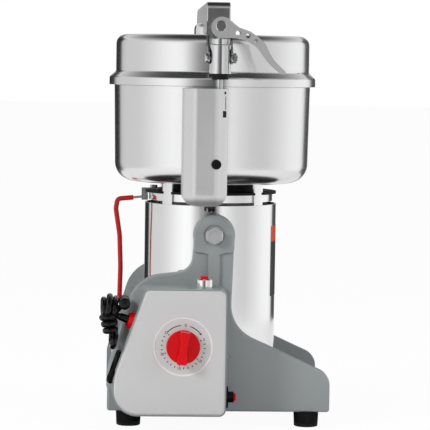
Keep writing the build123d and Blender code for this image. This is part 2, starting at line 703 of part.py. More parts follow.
with BuildPart() as motor_barrel:
    add(turned([(0, BARREL_BOTTOM), (BARREL_R, BARREL_BOTTOM), (BARREL_R, BARREL_TOP),
                (0, BARREL_TOP)], [0, BARREL_CORNER, 0, 0]))
    for side in (-1, 1):
        add(rod_between((0, side * pad_start, PIVOT_Z), (0, side, 0), PAD_R, pad_face - pad_start))
    inner_bottom = BARREL_BOTTOM + BARREL_WALL
    add(turned([(0, inner_bottom), (inside_r, inner_bottom), (inside_r, BARREL_TOP + 1),
                (0, BARREL_TOP + 1)], [0, BARREL_CORNER - BARREL_WALL, 0, 0]), mode=Mode.SUBTRACT)
    add(rod_between((0, -100, PIVOT_Z), (0, 1, 0), PIVOT_R, 200), mode=Mode.SUBTRACT)
    with PolarLocations(36, 12):
        with Locations((0, 0, BARREL_BOTTOM)):
            Cylinder(5, 10, mode=Mode.SUBTRACT)
    # notch in the rim for the interlock cables
    add(block(cable_xs[0] - 3.3, cable_xs[1] + 4.4, -BARREL_R - 10, 10 - BARREL_R,
              CABLE_Z - CABLE_R - 0.6, BARREL_TOP + 1), mode=Mode.SUBTRACT)

bolt_tail = ear_face + BOLT_END
bolt_head_y = inside_r - 7.2
nut_seat = ear_face - SPOT_DEPTH + SAFE_GAP

with BuildPart() as pivot_bolts:
    for side in (-1, 1):
        add(rod_between((0, side * bolt_head_y, PIVOT_Z), (0, side, 0), 8.5, 9))
    with Locations((0, 0, PIVOT_Z)):
        Cylinder(inside_r, 60, mode=Mode.INTERSECT)
    for side in (-1, 1):
        add(rod_between((0, side * bolt_head_y, PIVOT_Z), (0, side, 0), PIVOT_R,
                        bolt_tail - bolt_head_y))
        add(rod_between((0, side * nut_seat, PIVOT_Z), (0, side, 0), WASHER_R, 1))
        add(hexagon((0, side * (nut_seat + 1), PIVOT_Z), (0, side, 0), NUT_FLATS, NUT_THICK))

# ---------------------------------------------------------------- motor
bearing_r = SHAFT_R + BEARING_RING
tail_bearing_r = SHAFT_TAIL_R + TAIL_BEARING_RING
upper_bearing_z = BELL_TOP - BELL_SHEET - BEARING_WIDTH
tail_z = CORE_BOTTOM - 24
skirt_r = CORE_R - 4

with BuildPart() as end_bells:
    # upper bell: closing disc, bearing seat and a skirt down to the core
    add(turned([(SHAFT_R + 3, BELL_TOP), (inside_r, BELL_TOP), (inside_r, BELL_TOP - BELL_SHEET),
                (CORE_R, BELL_TOP - BELL_SHEET), (CORE_R, CORE_TOP), (skirt_r, CORE_TOP),
                (skirt_r, BELL_TOP - BELL_SHEET), (bearing_r + 4, BELL_TOP - BELL_SHEET),
                (bearing_r + 4, upper_bearing_z), (bearing_r, upper_bearing_z),
                (bearing_r, BELL_TOP - BELL_SHEET), (SHAFT_R + 3, BELL_TOP - BELL_SHEET)]))
    # lower bell: skirt, floor and the tail bearing's seat
    add(turned([(tail_bearing_r, tail_z), (CORE_R, tail_z), (CORE_R, CORE_BOTTOM),
                (skirt_r, CORE_BOTTOM), (skirt_r, tail_z + 5), (tail_bearing_r + 4, tail_z + 5),
                (tail_bearing_r + 4, tail_z + TAIL_BEARING_WIDTH),
                (tail_bearing_r, tail_z + TAIL_BEARING_WIDTH)]))
    # windows in both skirts
    for window_z in (CORE_TOP + 17, CORE_BOTTOM - 8):
        with PolarLocations(CORE_R - 2, 6, start_angle=30):
            with Locations((0, 0, window_z)):
                Box(20, 14, 10, mode=Mode.SUBTRACT)
    # brush holders
    for side in (-1, 1):
        add(block(min(side * 20, side * 50), max(side * 20, side * 50), -BRUSH_HALF - 2,
                  BRUSH_HALF + 2, BRUSH_Z - BRUSH_HALF - 2, BRUSH_Z + BRUSH_HALF + 2))
        add(block(min(side * 15, side * 60), max(side * 15, side * 60), -BRUSH_HALF,
                  BRUSH_HALF, BRUSH_Z - BRUSH_HALF, BRUSH_Z + BRUSH_HALF),
            mode=Mode.SUBTRACT)

with BuildPart() as ball_bearings:
    add(turned([(SHAFT_R, upper_bearing_z), (bearing_r, upper_bearing_z),
                (bearing_r, BELL_TOP - BELL_SHEET), (SHAFT_R, BELL_TOP - BELL_SHEET)]))
    add(turned([(SHAFT_TAIL_R, tail_z), (tail_bearing_r, tail_z),
                (tail_bearing_r, tail_z + TAIL_BEARING_WIDTH),
                (SHAFT_TAIL_R, tail_z + TAIL_BEARING_WIDTH)]))
    # turning clearance between the bearings' inner rings and the shaft
    with Locations((0, 0, upper_bearing_z)):
        Cylinder(SHAFT_R + SLIDE_GAP, 40, mode=Mode.SUBTRACT)
    with Locations((0, 0, tail_z)):
        Cylinder(SHAFT_TAIL_R + SLIDE_GAP, 40, mode=Mode.SUBTRACT)

bore_r = ARMATURE_R + AIR_GAP

with BuildPart() as field_core:
    add(turned([(CORE_R - CORE_RIM, CORE_BOTTOM), (CORE_R, CORE_BOTTOM), (CORE_R, CORE_TOP),
                (CORE_R - CORE_RIM, CORE_TOP)]))
    add(block(-POLE_HALF, POLE_HALF, 2 - CORE_R, CORE_R - 2, CORE_BOTTOM, CORE_TOP))
    with Locations((0, 0, (CORE_BOTTOM + CORE_TOP) / 2)):
        Cylinder(bore_r, 200, mode=Mode.SUBTRACT)

coil_inner = bore_r + 2.4
coil_outer = CORE_R - CORE_RIM - 6

with BuildPart() as field_coils:
    for side in (-1, 1):
        near, far = sorted((side * coil_inner, side * coil_outer))
        add(block(-POLE_HALF - 8, POLE_HALF + 8, near, far, CORE_BOTTOM - 7, CORE_TOP + 7))
    fillet(field_coils.edges().filter_by(Axis.Y), 3)
    add(block(-POLE_HALF, POLE_HALF, -CORE_R, CORE_R, CORE_BOTTOM, CORE_TOP), mode=Mode.SUBTRACT)

with BuildPart() as carbon_brushes:
    for side in (-1, 1):
        near, far = sorted((side * (COMMUTATOR_R + SAFE_GAP), side * (CORE_R - 10)))
        add(block(near, far, -BRUSH_HALF, BRUSH_HALF, BRUSH_Z - BRUSH_HALF, BRUSH_Z + BRUSH_HALF))

with BuildPart() as armature_core:
    add(turned([(SHAFT_R, CORE_BOTTOM), (ARMATURE_R, CORE_BOTTOM), (ARMATURE_R, CORE_TOP),
                (SHAFT_R, CORE_TOP)]))
    with PolarLocations(ARMATURE_R, 12):
        with Locations((0, 0, (CORE_BOTTOM + CORE_TOP) / 2)):
            Box(6, 2, 200, mode=Mode.SUBTRACT)

with BuildPart() as commutator:
    add(turned([(SHAFT_R, COMMUTATOR_BOTTOM), (COMMUTATOR_R, COMMUTATOR_BOTTOM),
                (COMMUTATOR_R, COMMUTATOR_TOP), (SHAFT_R, COMMUTATOR_TOP)]))

with BuildPart() as cooling_fan:
    fan_z = CORE_TOP + 9
    add(turned([(SHAFT_R, fan_z), (FAN_R, fan_z), (FAN_R, fan_z + 1.5), (11, fan_z + 1.5),
                (11, fan_z + 12), (SHAFT_R, fan_z + 12)]))
    with PolarLocations(FAN_R - 14.5, 9):
        with Locations((0, 0, fan_z + 1 + FAN_BLADE / 2)):
            Box(28, 1.5, FAN_BLADE)

shoulder_r = SHAFT_R + 3
with BuildPart() as motor_shaft:
    add(turned([(0, tail_z - 1), (SHAFT_TAIL_R, tail_z - 1), (SHAFT_TAIL_R, COMMUTATOR_BOTTOM),
                (SHAFT_R, COMMUTATOR_BOTTOM), (SHAFT_R, BOWL_BOTTOM + 0.5),
                (shoulder_r, BOWL_BOTTOM + 0.5), (shoulder_r, LOWER_BLADE_Z),
                (SHAFT_R, LOWER_BLADE_Z), (SHAFT_R, UPPER_BLADE_Z + SHAFT_ABOVE_BLADE),
                (0, UPPER_BLADE_Z + SHAFT_ABOVE_BLADE)]))

# ---------------------------------------------------------------- ring, straps and rubber mount
strap_r = RING_R + STRAP_THICK

with BuildPart() as top_ring:
    add(turned([(RING_R - RING_WIDTH, RING_BOTTOM), (RING_R, RING_BOTTOM), (RING_R, RING_TOP),
                (RING_R - RING_WIDTH, RING_TOP)]))
    add(rod_between((LATCH_STUD_X, 0, RING_BOTTOM - 1), (0, 0, 1), LATCH_STUD_R, 20),
        mode=Mode.SUBTRACT)

with BuildPart() as tie_straps:
    with PolarLocations(RING_R + 2, 4, start_angle=45):
        with Locations((0, 0, (BELL_TOP + BOWL_BOTTOM) / 2)):
            Box(16, STRAP_WIDTH, BOWL_BOTTOM - BELL_TOP)
    add(turned([(RING_R, BELL_TOP), (strap_r, BELL_TOP), (strap_r, BOWL_BOTTOM),
                (RING_R, BOWL_BOTTOM)]), mode=Mode.INTERSECT)

mount_bore = SHAFT_R + 0.5
with BuildPart() as rubber_mount:
    add(turned([(mount_bore, RING_TOP), (DISC_R, RING_TOP), (DISC_R, RING_TOP + DISC_THICK),
                (NECK_R, RING_TOP + DISC_THICK), (NECK_R, BOWL_BOTTOM),
                (mount_bore, BOWL_BOTTOM)]))
    with PolarLocations(RING_R + 6, 4, start_angle=45):
        with Locations((0, 0, RING_TOP)):
            Box(14, STRAP_WIDTH + 0.6, 20, mode=Mode.SUBTRACT)
    add(block(-DISC_R - 3, -RING_R - SAFE_GAP, -6, 6, RING_TOP - 1, RING_TOP + 4),
        mode=Mode.SUBTRACT)
    add(rod_between((LATCH_STUD_X, 0, RING_TOP - 1), (0, 0, 1), LATCH_STUD_R, 10),
        mode=Mode.SUBTRACT)

# ---------------------------------------------------------------- bowl and blades
bowl_outside = [(0, BOWL_BOTTOM), (BOWL_FOOT_R, BOWL_BOTTOM), (BOWL_R, BOWL_RIM), (0, BOWL_RIM)]
bowl_body = turned(bowl_outside, [0, BOWL_CORNER, 0, 0])

with BuildPart() as bowl:
    add(bowl_body)
    floor_z = BOWL_BOTTOM + BOWL_WALL
    rim_over = 5.0
    over_r = BOWL_R + (BOWL_R - BOWL_FOOT_R) * rim_over / (BOWL_RIM - BOWL_BOTTOM)
    add(turned([(0, floor_z), (BOWL_FOOT_R - BOWL_WALL, floor_z),
                (over_r - BOWL_WALL, BOWL_RIM + rim_over), (0, BOWL_RIM + rim_over)],
               [0, BOWL_CORNER - BOWL_WALL, 0, 0]), mode=Mode.SUBTRACT)
    with Locations((0, 0, BOWL_BOTTOM)):
        Cylinder(shoulder_r + 0.5, 20, mode=Mode.SUBTRACT)

with BuildPart() as blades:
    for blade_z, turn, reach in ((LOWER_BLADE_Z, 20, BLADE_REACH),
                                 (UPPER_BLADE_Z, 110, UPPER_BLADE_REACH)):
        with BuildSketch(Plane.XY.offset(blade_z).rotated((0, 0, turn))):
            with BuildLine():
                Polyline((-reach, -BLADE_WIDTH / 2), (-reach + 8, BLADE_WIDTH / 2),
                         (0, BLADE_WIDTH / 2 + 3), (reach, BLADE_WIDTH / 2),
                         (reach - 8, -BLADE_WIDTH / 2), (0, -BLADE_WIDTH / 2 - 3), close=True)
            make_face()
            Circle(SHAFT_R, mode=Mode.SUBTRACT)
        extrude(amount=BLADE_THICK)

with BuildPart() as blade_fasteners:
    # spacer between the blades, and the nut on top
    add(turned([(SHAFT_R, LOWER_BLADE_Z + BLADE_THICK), (shoulder_r + 2, LOWER_BLADE_Z + BLADE_THICK),
                (shoulder_r + 2, UPPER_BLADE_Z), (SHAFT_R, UPPER_BLADE_Z)]))
    nut_z = UPPER_BLADE_Z + BLADE_THICK
    add(hexagon((0, 0, nut_z), (0, 0, 1), 22, BLADE_NUT))
    with Locations((0, 0, nut_z)):
        Cylinder(SHAFT_R, 60, mode=Mode.SUBTRACT)

# ---------------------------------------------------------------- clamp housing
housing_corners = [
    (HOUSING_LEFT, 11 - BOWL_R), (HOUSING_LEFT, 14 - HOUSING_FRONT), (HOUSING_LEFT + 12, -HOUSING_FRONT),
    (HOUSING_RIGHT - 12, -HOUSING_FRONT), (HOUSING_RIGHT, 11 - HOUSING_FRONT), (HOUSING_RIGHT, 11 - BOWL_R),
]
housing_rounds = [0, 8, 8, 8, 8, 0]
back_wall_y = -BOWL_R - 1.5
housing_floor = HOUSING_BOTTOM + HOUSING_FLOOR
hollow_back = back_wall_y + HOUSING_WALL
hollow_corners = [(HOUSING_LEFT, hollow_back), *housing_corners[1:5], (HOUSING_RIGHT, hollow_back)]
cable_drop_y = CLAMP_Y + 13.0
bolt_seat_y = 0.8 - HOUSING_FRONT

# hollow, open at the top, with its back against the bowl and its floor rounded like the outside
with BuildPart() as housing_hollow:
    with BuildSketch(Plane.XY.offset(housing_floor)):
        add(rounded_outline(hollow_corners, housing_rounds, HOUSING_WALL))
    extrude(amount=HOUSING_TOP)
    hollow_bottom = housing_hollow.faces().sort_by(Axis.Z)[0]
    fillet(hollow_bottom.edges().filter_by(lambda edge: edge.center().Y < hollow_back - 1),
           HOUSING_ROUND - HOUSING_FLOOR)

with BuildPart() as clamp_housing:
    with BuildSketch(Plane.XY.offset(HOUSING_BOTTOM)):
        add(rounded_outline(housing_corners, housing_rounds))
    extrude(amount=HOUSING_TOP - HOUSING_BOTTOM)
    bottom_face = clamp_housing.faces().sort_by(Axis.Z)[0]
    fillet(bottom_face.edges().filter_by(lambda edge: edge.center().Y < 10 - BOWL_R),
           HOUSING_ROUND)
    add(housing_hollow.part, mode=Mode.SUBTRACT)
    add(bowl_body, mode=Mode.SUBTRACT)
    add(block(HOUSING_LEFT - 1, HOUSING_RIGHT + 1, 8 - BOWL_R, 26 - BOWL_R, HOUSING_BOTTOM - 30,
              HOUSING_TOP + 40), mode=Mode.SUBTRACT)
    add(rod_between((HOUSING_BOLT_X, -160, HOUSING_BOLT_Z), (0, 1, 0), SCREW_R, 70),
        mode=Mode.SUBTRACT)
    add(rod_between((HOUSING_BOLT_X, bolt_seat_y, HOUSING_BOLT_Z), (0, -1, 0),
                    HOUSING_BOLT_R + 0.4, 10), mode=Mode.SUBTRACT)
    for cable_x in cable_xs:
        add(rod_between((cable_x, cable_drop_y, HOUSING_BOTTOM - 30), (0, 0, 1), CABLE_R, 50),
            mode=Mode.SUBTRACT)

with BuildPart() as housing_bolt:
    bolt_reach = -bolt_seat_y - BOWL_R + 0.6
    add(rod_between((HOUSING_BOLT_X, bolt_seat_y, HOUSING_BOLT_Z), (0, 1, 0), SCREW_R, bolt_reach))
    add(rod_between((HOUSING_BOLT_X, bolt_seat_y, HOUSING_BOLT_Z), (0, -1, 0), HOUSING_BOLT_R, 2.6))
    fillet(housing_bolt.edges().sort_by(Axis.Y)[0], 0.8)
    add(hexagon((HOUSING_BOLT_X, bolt_seat_y - 1.2, HOUSING_BOLT_Z), (0, -1, 0), 4, 5),
        mode=Mode.SUBTRACT)

# anchor that the clamp rod's cross pin hooks under
anchor_nose_y = CLAMP_Y + HOOK_PIN_R + SAFE_GAP
anchor_under = HOOK_PIN_Z + HOOK_PIN_R + 0.5
with BuildPart() as anchor_hook:
    add(block(CLAMP_X - HOOK_PIN_HALF, CLAMP_X + HOOK_PIN_HALF, anchor_nose_y, back_wall_y,
              anchor_under, anchor_under + 9))
    fillet(anchor_hook.edges().filter_by(Axis.X).sort_by(Axis.Y)[0:2], 1.5)
    add(block(CLAMP_X - ROD_R - 0.6, CLAMP_X + ROD_R + 0.6, anchor_nose_y - 1,
              anchor_nose_y + 8, anchor_under - 1, anchor_under + 10), mode=Mode.SUBTRACT)

with BuildPart() as interlock_switch:
    switch_top = HOOK_PIN_Z - 12
    add(block(HOUSING_LEFT + 5, HOUSING_LEFT + 25, back_wall_y - 15, back_wall_y,
              switch_top - 30, switch_top))
    fillet(interlock_switch.edges().filter_by(Axis.Y), 1.2)
    add(block(HOUSING_LEFT + 13, HOUSING_LEFT + 17, back_wall_y - 11, back_wall_y - 4,
              switch_top, switch_top + 3))

with BuildPart() as interlock_cables:
    for cable_x in cable_xs:
        add(tube_along([(cable_x, cable_drop_y, housing_floor + 8), (cable_x, cable_drop_y, CABLE_Z),
                        (cable_x, 11.2 - BARREL_R, CABLE_Z), (cable_x, 11.2 - BARREL_R, BELL_TOP)],
                       [5, 5], CABLE_R))

# ---------------------------------------------------------------- lid
lid_inner_r = LID_R - LID_WALL
lip_inner_r = FLANGE_R - LID_WALL
shoulder_drop = 0.8  # keeps the shoulder's wall as thick as the rest

with BuildPart() as lid_shell:
    add(turned([(0, LID_TOP), (LID_R, LID_TOP), (LID_R, SHOULDER_Z), (FLANGE_R, FLANGE_TOP),
                (FLANGE_R, FLANGE_BOTTOM), (lip_inner_r, FLANGE_BOTTOM),
                (lip_inner_r, FLANGE_TOP - shoulder_drop), (lid_inner_r, SHOULDER_Z - shoulder_drop),
                (lid_inner_r, LID_TOP - LID_WALL), (0, LID_TOP - LID_WALL)],
               [0, LID_CORNER, 3, 3, 0, 0, 2, 3, LID_CORNER - LID_WALL, 0]))

spigot_bottom = BOWL_RIM - SPIGOT_DEPTH
seal_bottom = BOWL_RIM + SAFE_GAP
seal_top = seal_bottom + SEAL_THICK

with BuildPart() as lid_inner_plate:
    add(turned([(0, spigot_bottom), (SPIGOT_R, spigot_bottom), (SPIGOT_R, seal_top),
                (lip_inner_r, seal_top), (lip_inner_r, seal_top + LID_WALL),
                (SPIGOT_R - LID_WALL, seal_top + LID_WALL),
                (SPIGOT_R - LID_WALL, spigot_bottom + LID_WALL), (0, spigot_bottom + LID_WALL)],
               [0, 3, 0, 0, 0, 0, 1.5, 0]))

with BuildPart() as lid_seal:
    add(turned([(SPIGOT_R, seal_bottom), (lip_inner_r - SAFE_GAP, seal_bottom),
                (lip_inner_r - SAFE_GAP, seal_top), (SPIGOT_R, seal_top)]))

hub_top = LID_TOP + HUB_HEIGHT
bar_top_middle = BAR_TOP_NEAR - (BAR_TOP_NEAR - BAR_TOP_FAR) * BAR_NEAR / (
    BAR_NEAR + HINGE_Y + HINGE_EYE_R)
with BuildPart() as lid_hub:
    add(turned([(0, LID_TOP), (HUB_R, LID_TOP), (HUB_R, hub_top), (HUB_NECK_R, hub_top),
                (HUB_NECK_R, bar_top_middle - BAR_SHEET - 0.2), (0, bar_top_middle - BAR_SHEET - 0.2)],
               [0, 0, 7, 0, 0, 0]))

# ---------------------------------------------------------------- crossbar
bar_far = HINGE_Y + HINGE_EYE_R
leg_inside = HINGE_Y - HINGE_EYE_R
bar_half = BAR_WIDTH / 2
cheek_gap = CLAMP_R + SAFE_GAP
cheek_reach = 7.0  # cheek beyond the trunnion's axis
cheek_corners = [(BAR_SHEET - BAR_NEAR, TRUNNION_Z + 23), (-BAR_NEAR, TRUNNION_Z + 23),
                 (CLAMP_Y - cheek_reach, TRUNNION_Z + 6), (CLAMP_Y - cheek_reach, TRUNNION_Z - 4),
                 (CLAMP_Y, TRUNNION_Z - 7.5), (CLAMP_Y + cheek_reach, TRUNNION_Z - 4),
                 (BAR_SHEET - BAR_NEAR, TRUNNION_Z + 12)]
cheek_rounds = [0, 0, 5, 5, 8, 8, 0]

with BuildPart() as crossbar:
    with BuildSketch(Plane.YZ):
        add(rounded_outline([(-BAR_NEAR, BAR_UNDER), (-BAR_NEAR, BAR_TOP_NEAR),
                                       (bar_far, BAR_TOP_FAR), (bar_far, HINGE_Z - HINGE_EYE_R),
                                       (leg_inside, HINGE_Z - HINGE_EYE_R),
                                       (leg_inside, BAR_UNDER)],
                            [0, 7, 16, HINGE_EYE_R - 0.1, HINGE_EYE_R - 0.1, 3]))
    extrude(amount=bar_half, both=True)
    fillet(crossbar.edges().filter_by(Axis.Y, tolerance=2).group_by(Axis.Z)[-1], 1.2)
    with BuildSketch(Plane.YZ):
        add(rounded_outline([(BAR_SHEET - BAR_NEAR, BAR_UNDER - 10),
                                       (BAR_SHEET - BAR_NEAR, BAR_TOP_NEAR - BAR_SHEET),
                                       (bar_far - BAR_SHEET, BAR_TOP_FAR - BAR_SHEET),
                                       (bar_far - BAR_SHEET, HINGE_Z - 20),
                                       (leg_inside - 5, HINGE_Z - 20),
                                       (leg_inside - 5, BAR_UNDER - 10)],
                            [0, 5.5, 14.5, 0, 0, 0]))
    extrude(amount=bar_half - BAR_SHEET, both=True, mode=Mode.SUBTRACT)
    # the side walls stand on the hub
    with Locations((0, 0, hub_top)):
        Cylinder(HUB_R + SAFE_GAP, 40, align=(Align.CENTER, Align.CENTER, Align.MAX),
                 mode=Mode.SUBTRACT)
    # cheeks that hold the clamp, on a plate behind them
    cheek_left = CLAMP_X - cheek_gap - BAR_SHEET
    cheek_right = CLAMP_X + cheek_gap
    for cheek_x in (cheek_left, cheek_right):
        with BuildSketch(Plane.YZ.offset(cheek_x)):
            add(rounded_outline(cheek_corners, cheek_rounds))
        extrude(amount=BAR_SHEET)
    add(block(-bar_half, cheek_right + BAR_SHEET, -BAR_NEAR, BAR_SHEET - BAR_NEAR,
              TRUNNION_Z + 12, BAR_UNDER + 12))
    with Locations((0, CLAMP_Y, TRUNNION_Z)):
        Cylinder(TRUNNION_R + SLIDE_GAP, 60, rotation=(0, 90, 0), mode=Mode.SUBTRACT)
    with Locations((0, HINGE_Y, HINGE_Z)):
        Cylinder(HINGE_PIN_R + SLIDE_GAP, 60, rotation=(0, 90, 0), mode=Mode.SUBTRACT)

# ---------------------------------------------------------------- hinge at the back
ear_inside = bar_half + SAFE_GAP
bracket_root_y = BOWL_R - 5.9
with BuildPart() as hinge_bracket:
    for side in (-1, 1):
        near, far = sorted((side * ear_inside, side * (ear_inside + HINGE_EAR)))
        with BuildSketch(Plane.YZ.offset(near)):
            add(rounded_outline([(bracket_root_y, HINGE_Z - 46), (bar_far, HINGE_Z - 20),
                                 (bar_far, HINGE_Z + HINGE_EYE_R),
                                 (leg_inside, HINGE_Z + HINGE_EYE_R),
                                 (leg_inside, HINGE_Z - 16), (bracket_root_y, HINGE_Z - 22)],
                                [0, 8, HINGE_EYE_R - 0.1, HINGE_EYE_R - 0.1, 2, 0]))
        extrude(amount=HINGE_EAR)
    add(block(-ear_inside - HINGE_EAR, ear_inside + HINGE_EAR, bracket_root_y, BOWL_R + 2.6,
              HINGE_Z - 54, HINGE_Z - 17))
    add(bowl_body, mode=Mode.SUBTRACT)
    with Locations((0, HINGE_Y, HINGE_Z)):
        Cylinder(HINGE_PIN_R, 60, rotation=(0, 90, 0), mode=Mode.SUBTRACT)

with BuildPart() as hinge_pin:
    pin_half = ear_inside + HINGE_EAR
    add(rod_between((-pin_half, HINGE_Y, HINGE_Z), (1, 0, 0), HINGE_PIN_R, 2 * pin_half))
    for side in (-1, 1):
        add(rod_between((side * pin_half, HINGE_Y, HINGE_Z), (side, 0, 0), HINGE_PIN_R + 2, 2))

# ---------------------------------------------------------------- clamp
with BuildPart() as clamp_cylinder:
    with Locations((CLAMP_X, CLAMP_Y, CLAMP_BOTTOM)):
        Cylinder(CLAMP_R, CLAMP_TOP - CLAMP_BOTTOM, align=(Align.CENTER, Align.CENTER, Align.MIN))
    fillet(clamp_cylinder.edges().sort_by(Axis.Z)[-1], 1.2)
    with Locations((CLAMP_X, CLAMP_Y, CLAMP_BOTTOM - CLAMP_FLANGE)):
        Cylinder(CLAMP_R + 0.6, CLAMP_FLANGE, align=(Align.CENTER, Align.CENTER, Align.MIN))
    with Locations((CLAMP_X, CLAMP_Y, CLAMP_TOP)):
        Cylinder(COLLAR_R - 1, 1, align=(Align.CENTER, Align.CENTER, Align.MIN))
    with Locations((CLAMP_X, CLAMP_Y, CLAMP_TOP + 1)):
        Cylinder(COLLAR_R, COLLAR_TOP - CLAMP_TOP - 1,
                 align=(Align.CENTER, Align.CENTER, Align.MIN))
    chamfer(clamp_cylinder.edges().sort_by(Axis.Z)[-1], 0.6)
    with Locations((CLAMP_X, CLAMP_Y, TRUNNION_Z)):
        Cylinder(ROD_R + SLIDE_GAP, 100, mode=Mode.SUBTRACT)
        Cylinder(TRUNNION_R, 60, rotation=(0, 90, 0), mode=Mode.SUBTRACT)

with BuildPart() as clamp_spring:
    with Locations((CLAMP_X, CLAMP_Y, CLAMP_BOTTOM - CLAMP_FLANGE)):
        Cylinder(BUFFER_R, BUFFER_LENGTH, align=(Align.CENTER, Align.CENTER, Align.MAX))
        Cylinder(ROD_R + SAFE_GAP, 40, mode=Mode.SUBTRACT)

stub_start = 7.0
cheek_outside = cheek_gap + BAR_SHEET + SAFE_GAP
with BuildPart() as trunnion_pins:
    for side in (-1, 1):
        add(rod_between((CLAMP_X + side * stub_start, CLAMP_Y, TRUNNION_Z), (side, 0, 0),
                        TRUNNION_R, cheek_outside - stub_start))
    add(rod_between((CLAMP_X - cheek_outside, CLAMP_Y, TRUNNION_Z), (-1, 0, 0), 5, 3))
    fillet(trunnion_pins.edges().sort_by(Axis.X)[0], 2.4)
    add(hexagon((CLAMP_X + cheek_outside, CLAMP_Y, TRUNNION_Z), (1, 0, 0), 9, 3.5))
    add(rod_between((CLAMP_X + cheek_outside, CLAMP_Y, TRUNNION_Z), (1, 0, 0), TRUNNION_R, 4.5))

eye_r = CAM_PIN_R + 2
eye_half = 3.5
with BuildPart() as clamp_rod:
    rod_end = HOOK_PIN_Z - HOOK_PIN_R - 1.5
    add(rod_between((CLAMP_X, CLAMP_Y, rod_end), (0, 0, 1), ROD_R, CAM_PIN_Z - rod_end))
    with Locations((CLAMP_X, CLAMP_Y, HOOK_PIN_Z)):
        Cylinder(HOOK_PIN_R, 2 * HOOK_PIN_HALF, rotation=(0, 90, 0))
    with Locations((CLAMP_X, CLAMP_Y, CAM_PIN_Z)):
        Cylinder(eye_r, 2 * eye_half, rotation=(90, 0, 0))
        Cylinder(CAM_PIN_R, 40, rotation=(90, 0, 0), mode=Mode.SUBTRACT)

with BuildPart() as cam_pin:
    with Locations((CLAMP_X, CLAMP_Y, CAM_PIN_Z)):
        Cylinder(CAM_PIN_R, LEVER_WIDTH + 1.2, rotation=(90, 0, 0))
    chamfer(cam_pin.edges().filter_by(GeomType.CIRCLE), 0.6)
    for side in (-1, 1):
        end_y = CLAMP_Y + side * (LEVER_WIDTH / 2 + 0.6)
        add(rod_between((CLAMP_X, end_y, CAM_PIN_Z), (0, -side, 0), 3, 1.4), mode=Mode.SUBTRACT)

# lever: a cam head and an arm that thins to a bent blade, as circles joined by tangents
lever_stations = [  # across and down from the pin, and radius
    (CAM_SHIFT_X, CAM_SHIFT_Z, CAM_R), (16.0, -6.5, 5.6), (27.9, -9.6, 4.8), (36.6, -15.2, 4.4),
    (42.9, -20.7, 3.9), (47.1, -27.9, 3.2), (53.5, -36.9, 2.6), (61.4, -44.0, 2.3),
    (65.0, -46.7, 2.0),
]
lever_holes = [(17.5, -7.1, 2.7), (27.9, -9.9, 2.5), (35.7, -14.9, 1.9)]

with BuildPart() as cam_lever:
    with BuildSketch(front_plane(CLAMP_Y + LEVER_WIDTH / 2)):
        for start, end in zip(lever_stations, lever_stations[1:]):
            with BuildSketch(mode=Mode.PRIVATE) as ends:
                for across, down, radius in (start, end):
                    with Locations((CLAMP_X + across, CAM_PIN_Z + down)):
                        Circle(radius)
            add(make_hull(ends.edges(), mode=Mode.PRIVATE))
        for across, down, radius in lever_holes:
            with Locations((CLAMP_X + across, CAM_PIN_Z + down)):
                Circle(radius, mode=Mode.SUBTRACT)
        with Locations((CLAMP_X, CAM_PIN_Z)):
            Circle(CAM_PIN_R + SLIDE_GAP, mode=Mode.SUBTRACT)
    extrude(amount=LEVER_WIDTH)
    # slot in the head for the rod's eye
    slot_half = eye_half + 0.25
    with BuildSketch(front_plane(CLAMP_Y + slot_half)):
        with Locations((CLAMP_X, CAM_PIN_Z)):
            Circle(eye_r + 0.4)
            with Locations((-20 + ROD_R + 0.4, 0)):
                Rectangle(40, 40)
    extrude(amount=2 * slot_half, mode=Mode.SUBTRACT)

# ---------------------------------------------------------------- latch rod
latch_steps = [(-2.5, -0.3), (-29.5, -3.0), (-31.3, -13.5), (-26.8, -42.5), (-25.5, -76.5),
               (-26.1, -109.5), (-33.0, -121.5)]
hook_x = TIE_X - TIE_R - 7.5
latch_corners = [(LATCH_X + across, 0, LATCH_Z + down) for across, down in latch_steps]
latch_corners += [(hook_x, 0, TIE_Z - TIE_R), (TIE_X - 4.8, 0, TIE_Z - 2 * TIE_R)]
latch_bends = [4.5, 14, 60, 100, 10, 8, 3.5]
tab_half = 3.2

with BuildPart() as latch_bracket:
    top_z = RING_TOP + DISC_THICK
    add(block(LATCH_X - 3.5, LATCH_STUD_X + 5, -5, 5, top_z, top_z + 1.5))
    for side in (-1, 1):
        near, far = sorted((side * tab_half, side * (tab_half + 1.8)))
        add(block(LATCH_X - 3.5, LATCH_X + 3.2, near, far, LATCH_Z - 3.5, top_z + 1.5))
    add(rod_between((LATCH_STUD_X, 0, RING_BOTTOM), (0, 0, 1), LATCH_STUD_R,
                    top_z - RING_BOTTOM + 1.5))
    add(hexagon((LATCH_STUD_X, 0, top_z + 1.5), (0, 0, 1), 7, 3.2))
    add(rod_between((LATCH_X, -tab_half - 3, LATCH_Z), (0, 1, 0), LATCH_PIN_R, 2 * tab_half + 6))

with BuildPart() as latch_rod:
    add(tube_along(latch_corners, latch_bends, WIRE_R))
    with Locations((LATCH_X, 0, LATCH_Z)):
        Cylinder(3.6, 2 * WIRE_R + 0.6, rotation=(90, 0, 0))
        Cylinder(LATCH_PIN_R + SLIDE_GAP, 40, rotation=(90, 0, 0), mode=Mode.SUBTRACT)

sleeve_slope = (latch_corners[1][2] - latch_corners[0][2]) / (latch_corners[1][0] - latch_corners[0][0])
sleeve_x = LATCH_X - 12.5
sleeve_start = (sleeve_x, 0, latch_corners[0][2] + sleeve_slope * (sleeve_x - latch_corners[0][0]))
sleeve_corners = [sleeve_start, *latch_corners[1:7], (hook_x, 0, TIE_Z + 2 * TIE_R)]
with BuildPart() as latch_sleeve:
    add(tube_along(sleeve_corners, latch_bends[:6], SLEEVE_R))
    add(tube_along(sleeve_corners, latch_bends[:6], WIRE_R), mode=Mode.SUBTRACT)

# ---------------------------------------------------------------- power cord, hank and plug
outwards = gland_plane.z_dir
cord_start = gland_plane.origin - outwards * CORD_TAIL
cord_length = CORD_TAIL + GLAND_OUT + CORD_RUN

